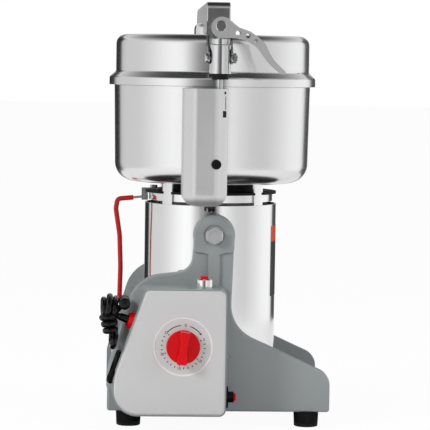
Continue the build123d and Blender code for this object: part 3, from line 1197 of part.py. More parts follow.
with BuildPart() as power_cord:
    add(rod_between(cord_start, outwards, CORD_R, cord_length))

hank_corners = [(-104, 87), (-100, 108), (-94, 119), (-92, 127), (-104, 127), (-104, 141),
                (-116, 141), (-120, 131), (-117, 108), (-109, 87)]
hank_rounds = [2, 6, 3, 2, 0, 4, 5, 6, 20, 2]

with BuildPart() as cord_hank:
    with BuildSketch(front_plane(-HANK_BACK)):
        add(rounded_outline(hank_corners, hank_rounds))
    extrude(amount=HANK_FRONT - HANK_BACK)
    add(pod_shell(-1.0), mode=Mode.SUBTRACT)
    add(rod_between(gland_plane.origin, outwards, CORD_R, GLAND_OUT + CORD_RUN),
        mode=Mode.SUBTRACT)

plug_pins_y = PLUG_BODY - PLUG_FRONT
with BuildPart() as power_plug:
    add(block(-103.6, -87.6, -PLUG_FRONT, plug_pins_y, 127.0, 143.0))
    fillet(power_plug.edges().filter_by(Axis.Y), 5)
    for blade_x in (-100.0, -92.8):
        add(block(blade_x, blade_x + 1.5, plug_pins_y, plug_pins_y + PLUG_PINS, 132.0, 138.0))

# ---------------------------------------------------------------- label, shift and write
pieces = {
    "near_side_frame": near_side_frame, "far_side_frame": far_side_frame,
    "pivot_bushes": pivot_bushes, "base_plate": base_plate, "tie_rod": tie_rod,
    "rubber_feet": rubber_feet, "base_screws": base_screws, "control_pod": control_pod,
    "pod_cover": pod_cover, "timer_body": timer_body, "timer_knob": timer_knob,
    "rocker_bezel": rocker_bezel, "rocker_button": rocker_button, "cord_gland": cord_gland,
    "breaker_body": breaker_body, "breaker_button": breaker_button, "jog_collar": jog_collar,
    "jog_button": jog_button, "motor_barrel": motor_barrel, "pivot_bolts": pivot_bolts,
    "end_bells": end_bells, "ball_bearings": ball_bearings, "field_core": field_core,
    "field_coils": field_coils, "carbon_brushes": carbon_brushes, "armature_core": armature_core,
    "commutator": commutator, "cooling_fan": cooling_fan, "motor_shaft": motor_shaft,
    "top_ring": top_ring, "tie_straps": tie_straps, "rubber_mount": rubber_mount, "bowl": bowl,
    "blades": blades, "blade_fasteners": blade_fasteners, "clamp_housing": clamp_housing,
    "housing_bolt": housing_bolt, "anchor_hook": anchor_hook,
    "interlock_switch": interlock_switch, "interlock_cables": interlock_cables,
    "lid_shell": lid_shell, "lid_inner_plate": lid_inner_plate, "lid_seal": lid_seal,
    "lid_hub": lid_hub, "crossbar": crossbar, "hinge_bracket": hinge_bracket,
    "hinge_pin": hinge_pin, "clamp_cylinder": clamp_cylinder, "clamp_spring": clamp_spring,
    "trunnion_pins": trunnion_pins, "clamp_rod": clamp_rod, "cam_pin": cam_pin,
    "cam_lever": cam_lever, "latch_bracket": latch_bracket, "latch_rod": latch_rod,
    "latch_sleeve": latch_sleeve, "power_cord": power_cord, "cord_hank": cord_hank,
    "power_plug": power_plug,
}
for name, piece in pieces.items():
    placed = piece.part.moved(TO_FOOTPRINT)
    placed.label = name
    export_step(placed, f"parts/{name}.step")
print("shift to the footprint centre", TO_FOOTPRINT.position)
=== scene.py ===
"""Swing-type electric grain mill, dressed for a studio picture.

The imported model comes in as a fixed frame. On it this script lays the finishes, the wound power
lead with its plug, the timer's dial and the small fittings, and then the studio round it.
The frame is in metres with Z up from the table. Sizes of the dressing's own pieces are typed in
millimetres, and their places in millimetres from the motor barrel's axis.
"""

from __future__ import annotations

import json
import logging
from collections.abc import Callable, Iterator, Mapping, Sequence
from contextlib import contextmanager
from dataclasses import dataclass
from enum import Enum
from math import cos, pi, radians, sin

import bmesh
import bpy
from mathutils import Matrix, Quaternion, Vector

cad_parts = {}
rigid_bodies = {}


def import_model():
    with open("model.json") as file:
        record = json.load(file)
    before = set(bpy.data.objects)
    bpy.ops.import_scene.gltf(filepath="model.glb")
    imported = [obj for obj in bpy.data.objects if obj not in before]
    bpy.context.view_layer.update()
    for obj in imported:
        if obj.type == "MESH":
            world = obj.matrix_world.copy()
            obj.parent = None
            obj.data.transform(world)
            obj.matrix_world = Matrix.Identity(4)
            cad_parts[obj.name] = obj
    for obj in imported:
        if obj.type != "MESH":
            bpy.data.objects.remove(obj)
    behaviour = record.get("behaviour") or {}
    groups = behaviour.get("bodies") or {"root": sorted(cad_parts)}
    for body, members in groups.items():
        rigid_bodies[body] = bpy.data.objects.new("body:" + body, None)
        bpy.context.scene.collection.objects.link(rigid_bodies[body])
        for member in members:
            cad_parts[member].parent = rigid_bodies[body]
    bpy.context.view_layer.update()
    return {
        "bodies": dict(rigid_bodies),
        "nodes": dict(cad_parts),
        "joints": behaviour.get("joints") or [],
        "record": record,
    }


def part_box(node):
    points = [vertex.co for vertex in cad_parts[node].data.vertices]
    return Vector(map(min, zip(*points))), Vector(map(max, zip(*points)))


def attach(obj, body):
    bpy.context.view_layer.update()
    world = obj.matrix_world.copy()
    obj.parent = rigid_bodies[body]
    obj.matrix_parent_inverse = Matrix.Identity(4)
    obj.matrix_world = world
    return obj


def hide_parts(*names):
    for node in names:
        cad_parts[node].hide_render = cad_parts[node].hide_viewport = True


log = logging.getLogger("grain_mill")

MM = 0.001
Colour = tuple[float, float, float]
Place = tuple[float, float, float]
Piece = bpy.types.Object
FOOTPRINT_SHIFT = Vector((-6.7, 15.45, 0.0)) * MM  # from the barrel's axis to the row frame
TO_FRONT = (radians(90.0), 0.0, 0.0)  # turns a piece's top to the control side


def at(x: float, y: float, z: float) -> Vector:
    """Return a place given in millimetres from the barrel's axis as a place in the row frame."""
    return Vector((x, y, z)) * MM + FOOTPRINT_SHIFT


# -------------------- shader maths
def _operator(operation: str, flipped: bool = False) -> Callable[[Signal, Signal | float], Signal]:
    """Return a method for one Math node, flipped where a plain number stands on the left."""

    def method(signal: Signal, other: Signal | float) -> Signal:
        """Return the operation's result."""
        return signal.maths(operation, *((other, signal) if flipped else (signal, other)))

    return method


class Signal:
    """A number, colour or shader inside a node tree, open to Python's operators."""

    def __init__(self, recipe: Recipe, socket: bpy.types.NodeSocket) -> None:
        """Wrap one output socket of a recipe."""
        self.recipe = recipe
        self.socket = socket

    def maths(self, operation: str, *terms: Signal | float) -> Signal:
        """Return the result of one Math node on the given terms."""
        return self.recipe.node("ShaderNodeMath", dict(enumerate(terms)), {"operation": operation})

    __add__ = _operator("ADD")
    __radd__ = _operator("ADD", flipped=True)
    __sub__ = _operator("SUBTRACT")
    __rsub__ = _operator("SUBTRACT", flipped=True)
    __mul__ = _operator("MULTIPLY")
    __truediv__ = _operator("DIVIDE")
    __pow__ = _operator("POWER")

    def clamped(self) -> Signal:
        """Return this value held between 0 and 1."""
        return self.maths("MINIMUM", self.maths("MAXIMUM", self, 0.0), 1.0)

    def swing(self, spread: float) -> Signal:
        """Return a value between 0 and 1 as one that swings round 0 over the given spread."""
        return (self - 0.5) * spread

    def slope(self, low: float, high: float, soft: bool = False) -> Signal:
        """Return 0 below low and 1 above high, with a straight or a soft slope between them."""
        return self.recipe.node(
            "ShaderNodeMapRange",
            {"Value": self, "From Min": low, "From Max": high},
            {"interpolation_type": "SMOOTHSTEP" if soft else "LINEAR"},
        )

    def bearing(self, ahead: Signal) -> Signal:
        """Return the angle, in radians, of this value aside and another one ahead."""
        return self.maths("ARCTAN2", self, ahead)


class Recipe:
    """A node tree while its nodes are being laid out."""

    def __init__(self, owner: bpy.types.Material | bpy.types.World, output: str) -> None:
        """Clear the owner's tree and give it an output node of the given type."""
        owner.use_nodes = True
        self.tree = owner.node_tree
        self.tree.nodes.clear()
        self.output = self.tree.nodes.new(output)

    def node(
        self, kind: str, sockets: Mapping[str | int, object] | None = None,
        settings: Mapping[str, object] | None = None, output: str | int = 0,
    ) -> Signal:
        """Make one node, set it up and wire it.

        Args:
            kind: the node's type.
            sockets: a value or a signal for each input, by name or number.
            settings: its properties, set before its sockets.
            output: the output that is wanted.

        Returns:
            That output.
        """
        made = self.tree.nodes.new(kind)
        for key, value in (settings or {}).items():
            setattr(made, key, value)
        for key, value in (sockets or {}).items():
            if isinstance(value, Signal):
                self.tree.links.new(value.socket, made.inputs[key])
            else:
                made.inputs[key].default_value = value
        return Signal(self, made.outputs[output])

    def show(self, shader: Signal) -> None:
        """Wire a shader to the tree's output."""
        self.tree.links.new(shader.socket, self.output.inputs["Surface"])

    def ray(self, kind: str) -> Signal:
        """Return 1 for light paths of a kind, such as Camera or Glossy, and 0 for the rest."""
        return self.node("ShaderNodeLightPath", output=f"Is {kind} Ray")

    def split(self, vector: Signal) -> list[Signal]:
        """Return the three coordinates of a vector."""
        apart = self.node("ShaderNodeSeparateXYZ", {0: vector}).socket.node
        return [Signal(self, socket) for socket in apart.outputs]

    def position(self, stretch: Place = (1.0, 1.0, 1.0), centre: Place = (0.0, 0.0, 0.0)) -> Signal:
        """Return the Object coordinates, measured from a centre and stretched."""
        return self.node(
            "ShaderNodeMapping",
            {
                "Vector": self.node("ShaderNodeTexCoord", output="Object"),
                "Scale": stretch,
                "Location": tuple(-c * s for c, s in zip(centre, stretch)),
            },
        )

    def noise(
        self, scale: float, detail: float = 2.0, grain: float = 0.5, where: Signal | None = None
    ) -> Signal:
        """Return a noise between 0 and 1, of a scale in blots to a metre, with finer layers."""
        return self.node(
            "ShaderNodeTexNoise",
            {
                "Vector": where or self.position(),
                "Scale": scale,
                "Detail": detail,
                "Roughness": grain,
            },
        )

    def tint(self, share: Signal, first: Colour, second: Colour) -> Signal:
        """Return a colour between two, mixed by a share from 0 to 1."""
        return self.node(
            "ShaderNodeMix",
            {0: share, 6: (*first, 1.0), 7: (*second, 1.0)},
            {"data_type": "RGBA"},
            output=2,
        )

    def relief(self, height: Signal, depth: float, strength: float = 1.0) -> Signal:
        """Return a normal that shows a height between 0 and 1 as relief of the given depth."""
        return self.node(
            "ShaderNodeBump", {"Height": height, "Distance": depth, "Strength": strength}
        )


class Surface(Recipe):
    """A material with a Principled shader."""

    def __init__(self, name: str) -> None:
        """Start a material of that name."""
        self.material = bpy.data.materials.new(name)
        super().__init__(self.material, "ShaderNodeOutputMaterial")
        self.shader = self.node("ShaderNodeBsdfPrincipled")
        self.show(self.shader)

    def set(self, **inputs: object) -> None:
        """Set or wire the shader's inputs.

        Args:
            inputs: a number or a signal for each input, with underscores for spaces.
        """
        for key, value in inputs.items():
            socket = self.shader.socket.node.inputs[key.replace("_", " ")]
            if isinstance(value, Signal):
                self.tree.links.new(value.socket, socket)
            else:
                socket.default_value = value


# -------------------- finishes
@dataclass(frozen=True)
class Finish:
    """A surface finish, which makes its own material."""

    colour: Colour

    def shade(self, factor: float, lift: float = 0.0) -> Colour:
        """Return the finish's colour made darker or lighter."""
        return tuple(min(1.0, c * factor + lift) for c in self.colour)

    def lay_out(self, recipe: Surface) -> None:
        """Lay the finish's nodes out in a recipe."""
        raise NotImplementedError

    def material(self, name: str) -> bpy.types.Material:
        """Return the finish as a material of that name."""
        recipe = Surface(name)
        self.lay_out(recipe)
        recipe.material.diffuse_color = (*self.colour, 1.0)
        return recipe.material


@dataclass(frozen=True)
class PaintedCasting(Finish):
    """Stove enamel on cast or pressed metal, with a fine leathery skin."""

    roughness: float = 0.38
    pebble: float = 1400.0  # pebbles to a metre
    skin: float = 0.00004  # their depth
    cloud: float = 0.05  # how far the colour drifts
    gloss: float = 0.35
    flake: float = 0.0  # share of metal flake in the enamel

    def lay_out(self, recipe: Surface) -> None:
        """Lay out drifting colour, pebbled skin and rubbed, glossier patches."""
        drift = recipe.noise(14.0, detail=4.0, grain=0.6)
        speck = recipe.noise(2600.0, detail=1.0).slope(0.66, 0.74, soft=True)
        rubbed = recipe.noise(45.0, detail=5.0, grain=0.65)
        dark, light = self.shade(1.0 - self.cloud), self.shade(1.0 + self.cloud * 0.6)
        recipe.set(
            Base_Color=recipe.tint(drift, dark, light),
            Roughness=self.roughness + rubbed.swing(0.16) + speck * 0.05,
            Normal=recipe.relief(recipe.noise(self.pebble), self.skin),
            Specular_IOR_Level=self.gloss,
            Metallic=self.flake,
        )


class Brushing(Enum):
    """The way the grinding belt or the lathe left its lines."""

    AROUND = "round the upright axis"
    LEVEL = "X"
    UPRIGHT = "Z"


@dataclass(frozen=True)
class BrushedSteel(Finish):
    """Stainless sheet with fine brushed or turned lines."""

    brushing: Brushing = Brushing.AROUND
    roughness: float = 0.26
    lines: float = 2600.0  # lines to a metre
    run: float = 0.012  # how fast the tone changes along a line, as a share of that across
    depth: float = 0.000012
    anisotropy: float = 0.55
    centre: Place = tuple(FOOTPRINT_SHIFT)

    def lay_out(self, recipe: Surface) -> None:
        """Lay out the lines as streaks of tone, gloss and relief."""
        streak = recipe.noise(1.0, detail=3.0, grain=0.6, where=self._along_lines(recipe, 1.0))
        band = recipe.noise(1.0, where=self._along_lines(recipe, 0.05))
        smudge = recipe.noise(18.0, detail=4.0, grain=0.6)
        recipe.set(
            Base_Color=recipe.tint(streak, self.shade(0.90), self.colour),
            Metallic=1.0,
            Roughness=self.roughness + streak.swing(0.14) + band.swing(0.10) + smudge.swing(0.08),
            Anisotropic=self.anisotropy,
            Anisotropic_Rotation=0.25,
            Normal=recipe.relief(streak, self.depth),
        )

    def _along_lines(self, recipe: Surface, share: float) -> Signal:
        """Return coordinates that run slowly along the lines and fast across them.

        Args:
            recipe: the material being laid out.
            share: share of the full number of lines.

        Returns:
            The coordinates as a vector signal.
        """
        across = self.lines * share
        along = across * self.run
        if self.brushing is not Brushing.AROUND:
            return recipe.position(
                tuple(along if axis == self.brushing.value else across for axis in "XYZ")
            )
        x, y, z = recipe.split(recipe.position(centre=self.centre))
        radius = (x * x + y * y + 1e-8) ** 0.5
        turn = along * 0.09  # the tone's slow change round the axis
        return recipe.node(
            "ShaderNodeCombineXYZ",
            {0: x / radius * turn, 1: y / radius * turn, 2: (radius - z * 1.7) * across},
        )


@dataclass(frozen=True)
class BrightSteel(Finish):
    """Polished or chromed steel with faint wipe marks."""

    roughness: float = 0.07
    wave: float = 0.00006  # depth of the wave in the surface

    def lay_out(self, recipe: Surface) -> None:
        """Lay out wipe marks in the gloss and a faint wave in the surface."""
        wipe = recipe.noise(28.0, detail=5.0, grain=0.7)
        hair = recipe.noise(1.0, where=recipe.position((220.0, 220.0, 3200.0)))
        recipe.set(
            Base_Color=recipe.tint(wipe, self.shade(0.96), self.colour),
            Metallic=1.0,
            Roughness=self.roughness + wipe.swing(0.06) + hair.swing(0.04),
            Normal=recipe.relief(recipe.noise(22.0, detail=1.0), self.wave, 0.6),
        )


@dataclass(frozen=True)
class BlastedMetal(Finish):
    """Bead-blasted or as-cast metal with an even, fine grain."""

    roughness: float = 0.42
    grain: float = 3200.0  # grains to a metre
    depth: float = 0.00003

    def lay_out(self, recipe: Surface) -> None:
        """Lay out the grain and slow clouds of handling marks."""
        pit = recipe.noise(self.grain)
        cloud = recipe.noise(30.0, detail=4.0, grain=0.6)
        recipe.set(
            Base_Color=recipe.tint(cloud, self.shade(0.92), self.colour),
            Metallic=1.0,
            Roughness=self.roughness + pit.swing(0.12) + cloud.swing(0.12),
            Normal=recipe.relief(pit, self.depth),
        )


@dataclass(frozen=True)
class MouldedPlastic(Finish):
    """Injection-moulded plastic with a trace of flow and fine scratches."""

    roughness: float = 0.3
    texture: float = 1800.0  # grains to a metre
    depth: float = 0.00001
    gloss: float = 0.25

    def lay_out(self, recipe: Surface) -> None:
        """Lay out flow clouds, moulded texture and scratches."""
        flow = recipe.noise(32.0, detail=3.0)
        lengthwise = recipe.position((300.0, 2400.0, 300.0))
        scratch = recipe.noise(1.0, detail=3.0, grain=0.7, where=lengthwise)
        recipe.set(
            Base_Color=recipe.tint(flow, self.shade(0.94), self.shade(1.06, 0.002)),
            Roughness=self.roughness + flow.swing(0.08) + scratch.slope(0.62, 0.72, True) * 0.08,
            Normal=recipe.relief(recipe.noise(self.texture), self.depth),
            Specular_IOR_Level=self.gloss,
        )


@dataclass(frozen=True)
class SoftRubber(Finish):
    """Moulded rubber, matt, with dust in its pores."""

    roughness: float = 0.62

    def lay_out(self, recipe: Surface) -> None:
        """Lay out the pores and a thin bloom of dust."""
        dust = recipe.noise(60.0, detail=5.0, grain=0.7).slope(0.45, 0.85, soft=True)
        pore = recipe.noise(2400.0)
        recipe.set(
            Base_Color=recipe.tint(dust, self.colour, self.shade(1.0, 0.012)),
            Roughness=self.roughness + pore.swing(0.12) + dust * 0.06,
            Normal=recipe.relief(pore, 0.00004),
            Specular_IOR_Level=0.2,
        )


@dataclass(frozen=True)
class Laminations(Finish):
    """Stacked iron sheets or wound copper: thin layers along one direction."""

    pitch: float = 0.0007
    roughness: float = 0.4

    def lay_out(self, recipe: Surface) -> None:
        """Lay out the layers as ridges with a drifting tone."""
        ridge = recipe.node(
            "ShaderNodeTexWave",
            {"Vector": recipe.position(), "Scale": 1.0 / self.pitch / 20.0, "Distortion": 0.4,
             "Detail": 1.0},
            {"bands_direction": "Z", "wave_profile": "SIN"},
            output=1,
        )
        drift = recipe.noise(90.0, detail=3.0)
        recipe.set(
            Base_Color=recipe.tint(drift, self.shade(0.75), self.colour),
            Metallic=1.0,
            Roughness=self.roughness + drift.swing(0.15),
            Normal=recipe.relief(ridge, 0.0001),
        )


BLACK: Colour = (0.004, 0.004, 0.0045)

FINISHES: dict[str, Finish] = {
    "frame_paint": PaintedCasting((0.31, 0.335, 0.34), roughness=0.36, gloss=0.45, flake=0.12),
    "cover_paint": PaintedCasting((0.60, 0.60, 0.60), roughness=0.34, pebble=2000.0, skin=0.00001,
                                  cloud=0.02, gloss=0.5, flake=0.10),
    "polished_steel": BrightSteel((0.90, 0.90, 0.905), roughness=0.10),
    "satin_steel": BrushedSteel((0.86, 0.86, 0.865), roughness=0.20),
    "plate_steel": BlastedMetal((0.62, 0.63, 0.64), roughness=0.24, depth=0.00001),
    "lever_steel": BrushedSteel((0.80, 0.80, 0.80), brushing=Brushing.LEVEL, roughness=0.46),
    "housing_aluminium": BlastedMetal((0.82, 0.82, 0.825), roughness=0.52, depth=0.00002),
    "bell_aluminium": BlastedMetal((0.66, 0.67, 0.68), roughness=0.5, depth=0.00006),
    "core_iron": Laminations((0.33, 0.32, 0.31)),
    "winding_copper": Laminations((0.72, 0.33, 0.16), pitch=0.0009, roughness=0.3),
    "bush_brass": BlastedMetal((0.72, 0.55, 0.28), roughness=0.32, depth=0.00001),
    "black_rubber": SoftRubber((0.006, 0.006, 0.0065)),
    "seal_rubber": SoftRubber((0.06, 0.06, 0.062), roughness=0.5),
    "black_plastic": MouldedPlastic(BLACK),
    "black_cable": MouldedPlastic((0.003, 0.003, 0.0032), roughness=0.16, texture=900.0, gloss=0.3),
    "black_steel": BlastedMetal((0.03, 0.03, 0.032), roughness=0.38, depth=0.00001),
    "red_plastic": MouldedPlastic((0.66, 0.001, 0.006), roughness=0.24, gloss=0.16),
    "red_sleeve": MouldedPlastic((0.46, 0.010, 0.014), roughness=0.38, gloss=0.3),
    "white_plastic": MouldedPlastic((0.72, 0.72, 0.70), roughness=0.4),
    # single pieces with a finish of their own
    # darker than the satin steel: painted shade standing in for the darker reflections the crossbar
    # shows
    "crossbar": BrushedSteel((0.66, 0.66, 0.665), brushing=Brushing.UPRIGHT, roughness=0.22),
    "clamp_cylinder": BrushedSteel((0.74, 0.74, 0.75), brushing=Brushing.UPRIGHT, roughness=0.16),
    "tie_straps": BrightSteel((0.92, 0.92, 0.93), roughness=0.16),
    "pivot_bolts": BrightSteel((0.86, 0.86, 0.86), roughness=0.34),
    "rocker_button": MouldedPlastic(BLACK, roughness=0.6, gloss=0.04),
    "rocker_bezel": MouldedPlastic(BLACK, roughness=0.5, gloss=0.06),
    "dial_print": MouldedPlastic((0.012, 0.012, 0.013), roughness=0.6, gloss=0.1),
    # lighter than the cover paint: painted highlight on the rim of the dial's recess
    "dial_rim": PaintedCasting((0.80, 0.80, 0.80), roughness=0.5, gloss=0.3),
    "panel_upper": MouldedPlastic((0.62, 0.07, 0.015), roughness=0.35),
    "panel_lower": MouldedPlastic((0.022, 0.022, 0.024), roughness=0.35),
}


class Wardrobe:
    """All materials of the mill, each made from its finish on first use."""

    def __init__(self) -> None:
        """Start with no material made."""
        self.made: dict[str, bpy.types.Material] = {}

    def material(self, piece: str, slot: str) -> bpy.types.Material:
        """Return the material of a piece, its own if it has one and its slot's if not."""
        name = piece if piece in FINISHES else slot
        if name not in self.made:
            self.made[name] = FINISHES[name].material(f"{name}_finish")
        return self.made[name]

    def dress(self, piece: Piece, slot: str, body: str, *nodes: str) -> None:
        """Give a new piece its finish, and make it ride on a body and stand for CAD nodes.

        Args:
            piece: the piece.
            slot: the slot that it counts to.
            body: the body that it rides on.
            nodes: the CAD nodes that it stands for, if any.
        """
        piece.data.materials.clear()
        piece.data.materials.append(self.material(piece.name, slot))
        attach(piece, body)
        if nodes:
            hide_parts(*nodes)
        log.info("%s on %s, in %s", piece.name, body, slot)


# -------------------- bench work
class Element(Enum):
    """What is picked on a mesh, and where the mesh keeps it."""

    FACE = "faces"
    VERT = "verts"


def take(piece: Piece) -> None:
    """Select one piece alone and make it the active one."""
    bpy.ops.object.select_all(action="DESELECT")
    piece.select_set(True)
    bpy.context.view_layer.objects.active = piece


def newest(name: str) -> Piece:
    """Name and return the piece that an operator has just made."""
    piece = bpy.context.active_object
    piece.name = name
    piece.data.name = name
    return piece


def add(name: str, primitive: Callable[..., object], **settings: object) -> Piece:
    """Add a piece with an operator.

    Args:
        name: the piece's name.
        primitive: the operator.
        settings: the operator's settings.

    Returns:
        The piece, selected and active.
    """
    bpy.ops.object.select_all(action="DESELECT")
    primitive(**settings)
    return newest(name)


@contextmanager
def editing(piece: Piece) -> Iterator[None]:
    """Hold a piece in edit mode with everything on it selected."""
    take(piece)
    bpy.ops.object.mode_set(mode="EDIT")
    bpy.ops.mesh.select_mode(type="VERT")
    pick_all()
    try:
        yield
    finally:
        bpy.ops.object.mode_set(mode="OBJECT")


def pick_all() -> None:
    """Select everything on the piece in edit mode."""
    bpy.ops.mesh.select_all(action="SELECT")


def pick(
    piece: Piece, wanted: Callable[[Vector, Vector], bool], element: Element = Element.FACE
) -> None:
    """Select what passes a test on its middle and its normal, and deselect the rest.

    Args:
        piece: the piece in edit mode.
        wanted: the test, on the middle and the normal.
        element: what is picked.
    """
    bpy.ops.mesh.select_mode(type=element.name)
    bpy.ops.mesh.select_all(action="DESELECT")
    mesh = bmesh.from_edit_mesh(piece.data)
    mesh.normal_update()
    for item in getattr(mesh, element.value):
        middle = item.calc_center_median() if element is Element.FACE else item.co
        if wanted(middle, item.normal):
            item.select_set(True)
    mesh.select_flush_mode()
    bmesh.update_edit_mesh(piece.data)


def inset(thickness: float, depth: float = 0.0) -> None:
    """Inset the picked faces, both sizes in millimetres."""
    bpy.ops.mesh.inset(thickness=thickness * MM, depth=depth * MM)


def draw_out(step: Vector | Place) -> None:
    """Extrude what is picked by a step."""
    bpy.ops.mesh.extrude_region_move(TRANSFORM_OT_translate={"value": tuple(step)})


def resize(factors: Place, centre: Vector) -> None:
    """Scale what is picked about a centre."""
    bpy.ops.transform.resize(value=factors, center_override=tuple(centre))


def settle(piece: Piece, place: Vector | None = None, turn: Sequence[float] | None = None) -> Piece:
    """Put a piece's place, turn and size into its mesh, and apply its modifiers.

    Args:
        piece: the piece.
        place: where it goes first, or none to leave it.
        turn: how it is turned first, or none to leave it.

    Returns:
        The piece.
    """
    take(piece)
    if place is not None:
        piece.location = place
    if turn is not None:
        piece.rotation_euler = turn
    bpy.ops.object.transform_apply(location=True, rotation=True, scale=True)
    for modifier in list(piece.modifiers):
        bpy.ops.object.modifier_apply(modifier=modifier.name)
    return piece


def soften(piece: Piece, width: float, segments: int = 3) -> None:
    """Round a piece's sharp edges and shade it smooth.

    Args:
        piece: the piece.
        width: width of the rounding, in millimetres.
        segments: steps across it.
    """
    bevel = piece.modifiers.new("rounding", "BEVEL")
    bevel.width, bevel.segments = width * MM, segments
    bevel.limit_method, bevel.angle_limit = "ANGLE", radians(35.0)
    settle(piece)
    bpy.ops.object.shade_smooth_by_angle(angle=radians(40.0))


def film(name: str, width: float, height: float, corner: float, segments: int) -> Piece:
    """Return a flat film with rounded corners, at the origin and facing up.

    Args:
        name: its name.
        width: its size along X, in millimetres.
        height: its size along Y.
        corner: how far a corner's rounding reaches along each edge.
        segments: steps in the rounding.

    Returns:
        The film.
    """
    made = add(name, bpy.ops.mesh.primitive_plane_add, size=1.0)
    with editing(made):
        bpy.ops.transform.resize(value=(width * MM, height * MM, 1.0))
        bpy.ops.mesh.bevel(offset=corner * MM, segments=segments, affect="VERTICES")
    return made


def swept_film(
    name: str, start: Vector, end: Vector, turn: float, steps: int, centre: Vector, axis: Place
) -> Piece:
    """Return a film swept by a short line that spins round an axis.

    Args:
        name: its name.
        start: one end of the line.
        end: the other end.
        turn: how far the line spins, in radians.
        steps: steps in the spin.
        centre: a place on the axis.
        axis: the axis's direction.

    Returns:
        The film.
    """
    made = add(name, bpy.ops.mesh.primitive_plane_add, size=1.0)
    with editing(made):
        bpy.ops.mesh.merge(type="CENTER")
        bpy.ops.transform.translate(value=tuple(start))
        draw_out(end - start)
        pick_all()
        bpy.ops.mesh.spin(
            steps=steps, angle=turn, center=tuple(centre), axis=axis, use_auto_merge=False
        )
    return settle(made)


def join(pieces: Sequence[Piece], name: str) -> Piece:
    """Join several pieces into one named mesh."""
    take(pieces[0])
    for piece in pieces:
        piece.select_set(True)
    bpy.ops.object.join()
    return newest(name)


# -------------------- power lead
# the lead's way after its wraps, in millimetres from the barrel's axis
LEAD_LOOPS: tuple[Place, ...] = (
    # down to the tip and along the bottom to the back
    (-102.4, -136, 100.6), (-103, -143, 99.6), (-104.2, -146.2, 95.6), (-105, -144.6, 91.4),
    (-105.6, -139, 90.6), (-105.8, -132, 90.8), (-106, -123, 91), (-106.2, -112, 91),
    (-106.4, -104.6, 92.6),
    # up the back and forward over the top, nearest the pod
    (-106, -101.6, 99), (-105.4, -101.4, 108), (-104.4, -101.4, 118), (-103, -101.6, 127),
    (-102.8, -104, 134.4), (-102.6, -111, 137.6), (-102.6, -121, 137.8), (-102.8, -131, 137.4),
    (-103.2, -138.6, 134.4), (-104, -141.2, 128), (-105.6, -139, 120.6), (-107.6, -131, 115),
    # back through the middle, and over the top a second time
    (-109, -121, 113.4), (-109.6, -111, 115), (-109.4, -104.4, 120), (-109, -101.6, 128),
    (-108.9, -104, 136.4), (-108.8, -112, 140), (-108.8, -122, 140.2), (-108.8, -132, 139.8),
    (-109, -140, 136.2), (-109.8, -143, 129), (-111, -140.6, 121.4), (-112.4, -132, 117.6),
    # back again, and over the top on the far side from the pod
    (-113.6, -121, 117.6), (-114.6, -111, 119.6), (-115.2, -105.4, 125.6), (-115.2, -106.4, 132.6),
    (-115, -112.6, 136.4), (-115, -122, 136.8), (-114.8, -131.6, 136), (-114.4, -138, 131.8),
    (-113.6, -139, 125.6), (-111.4, -134.8, 121.6), (-107.4, -128.6, 121.8), (-103, -122.4, 124.6),
    (-98.6, -118, 128.6),
)


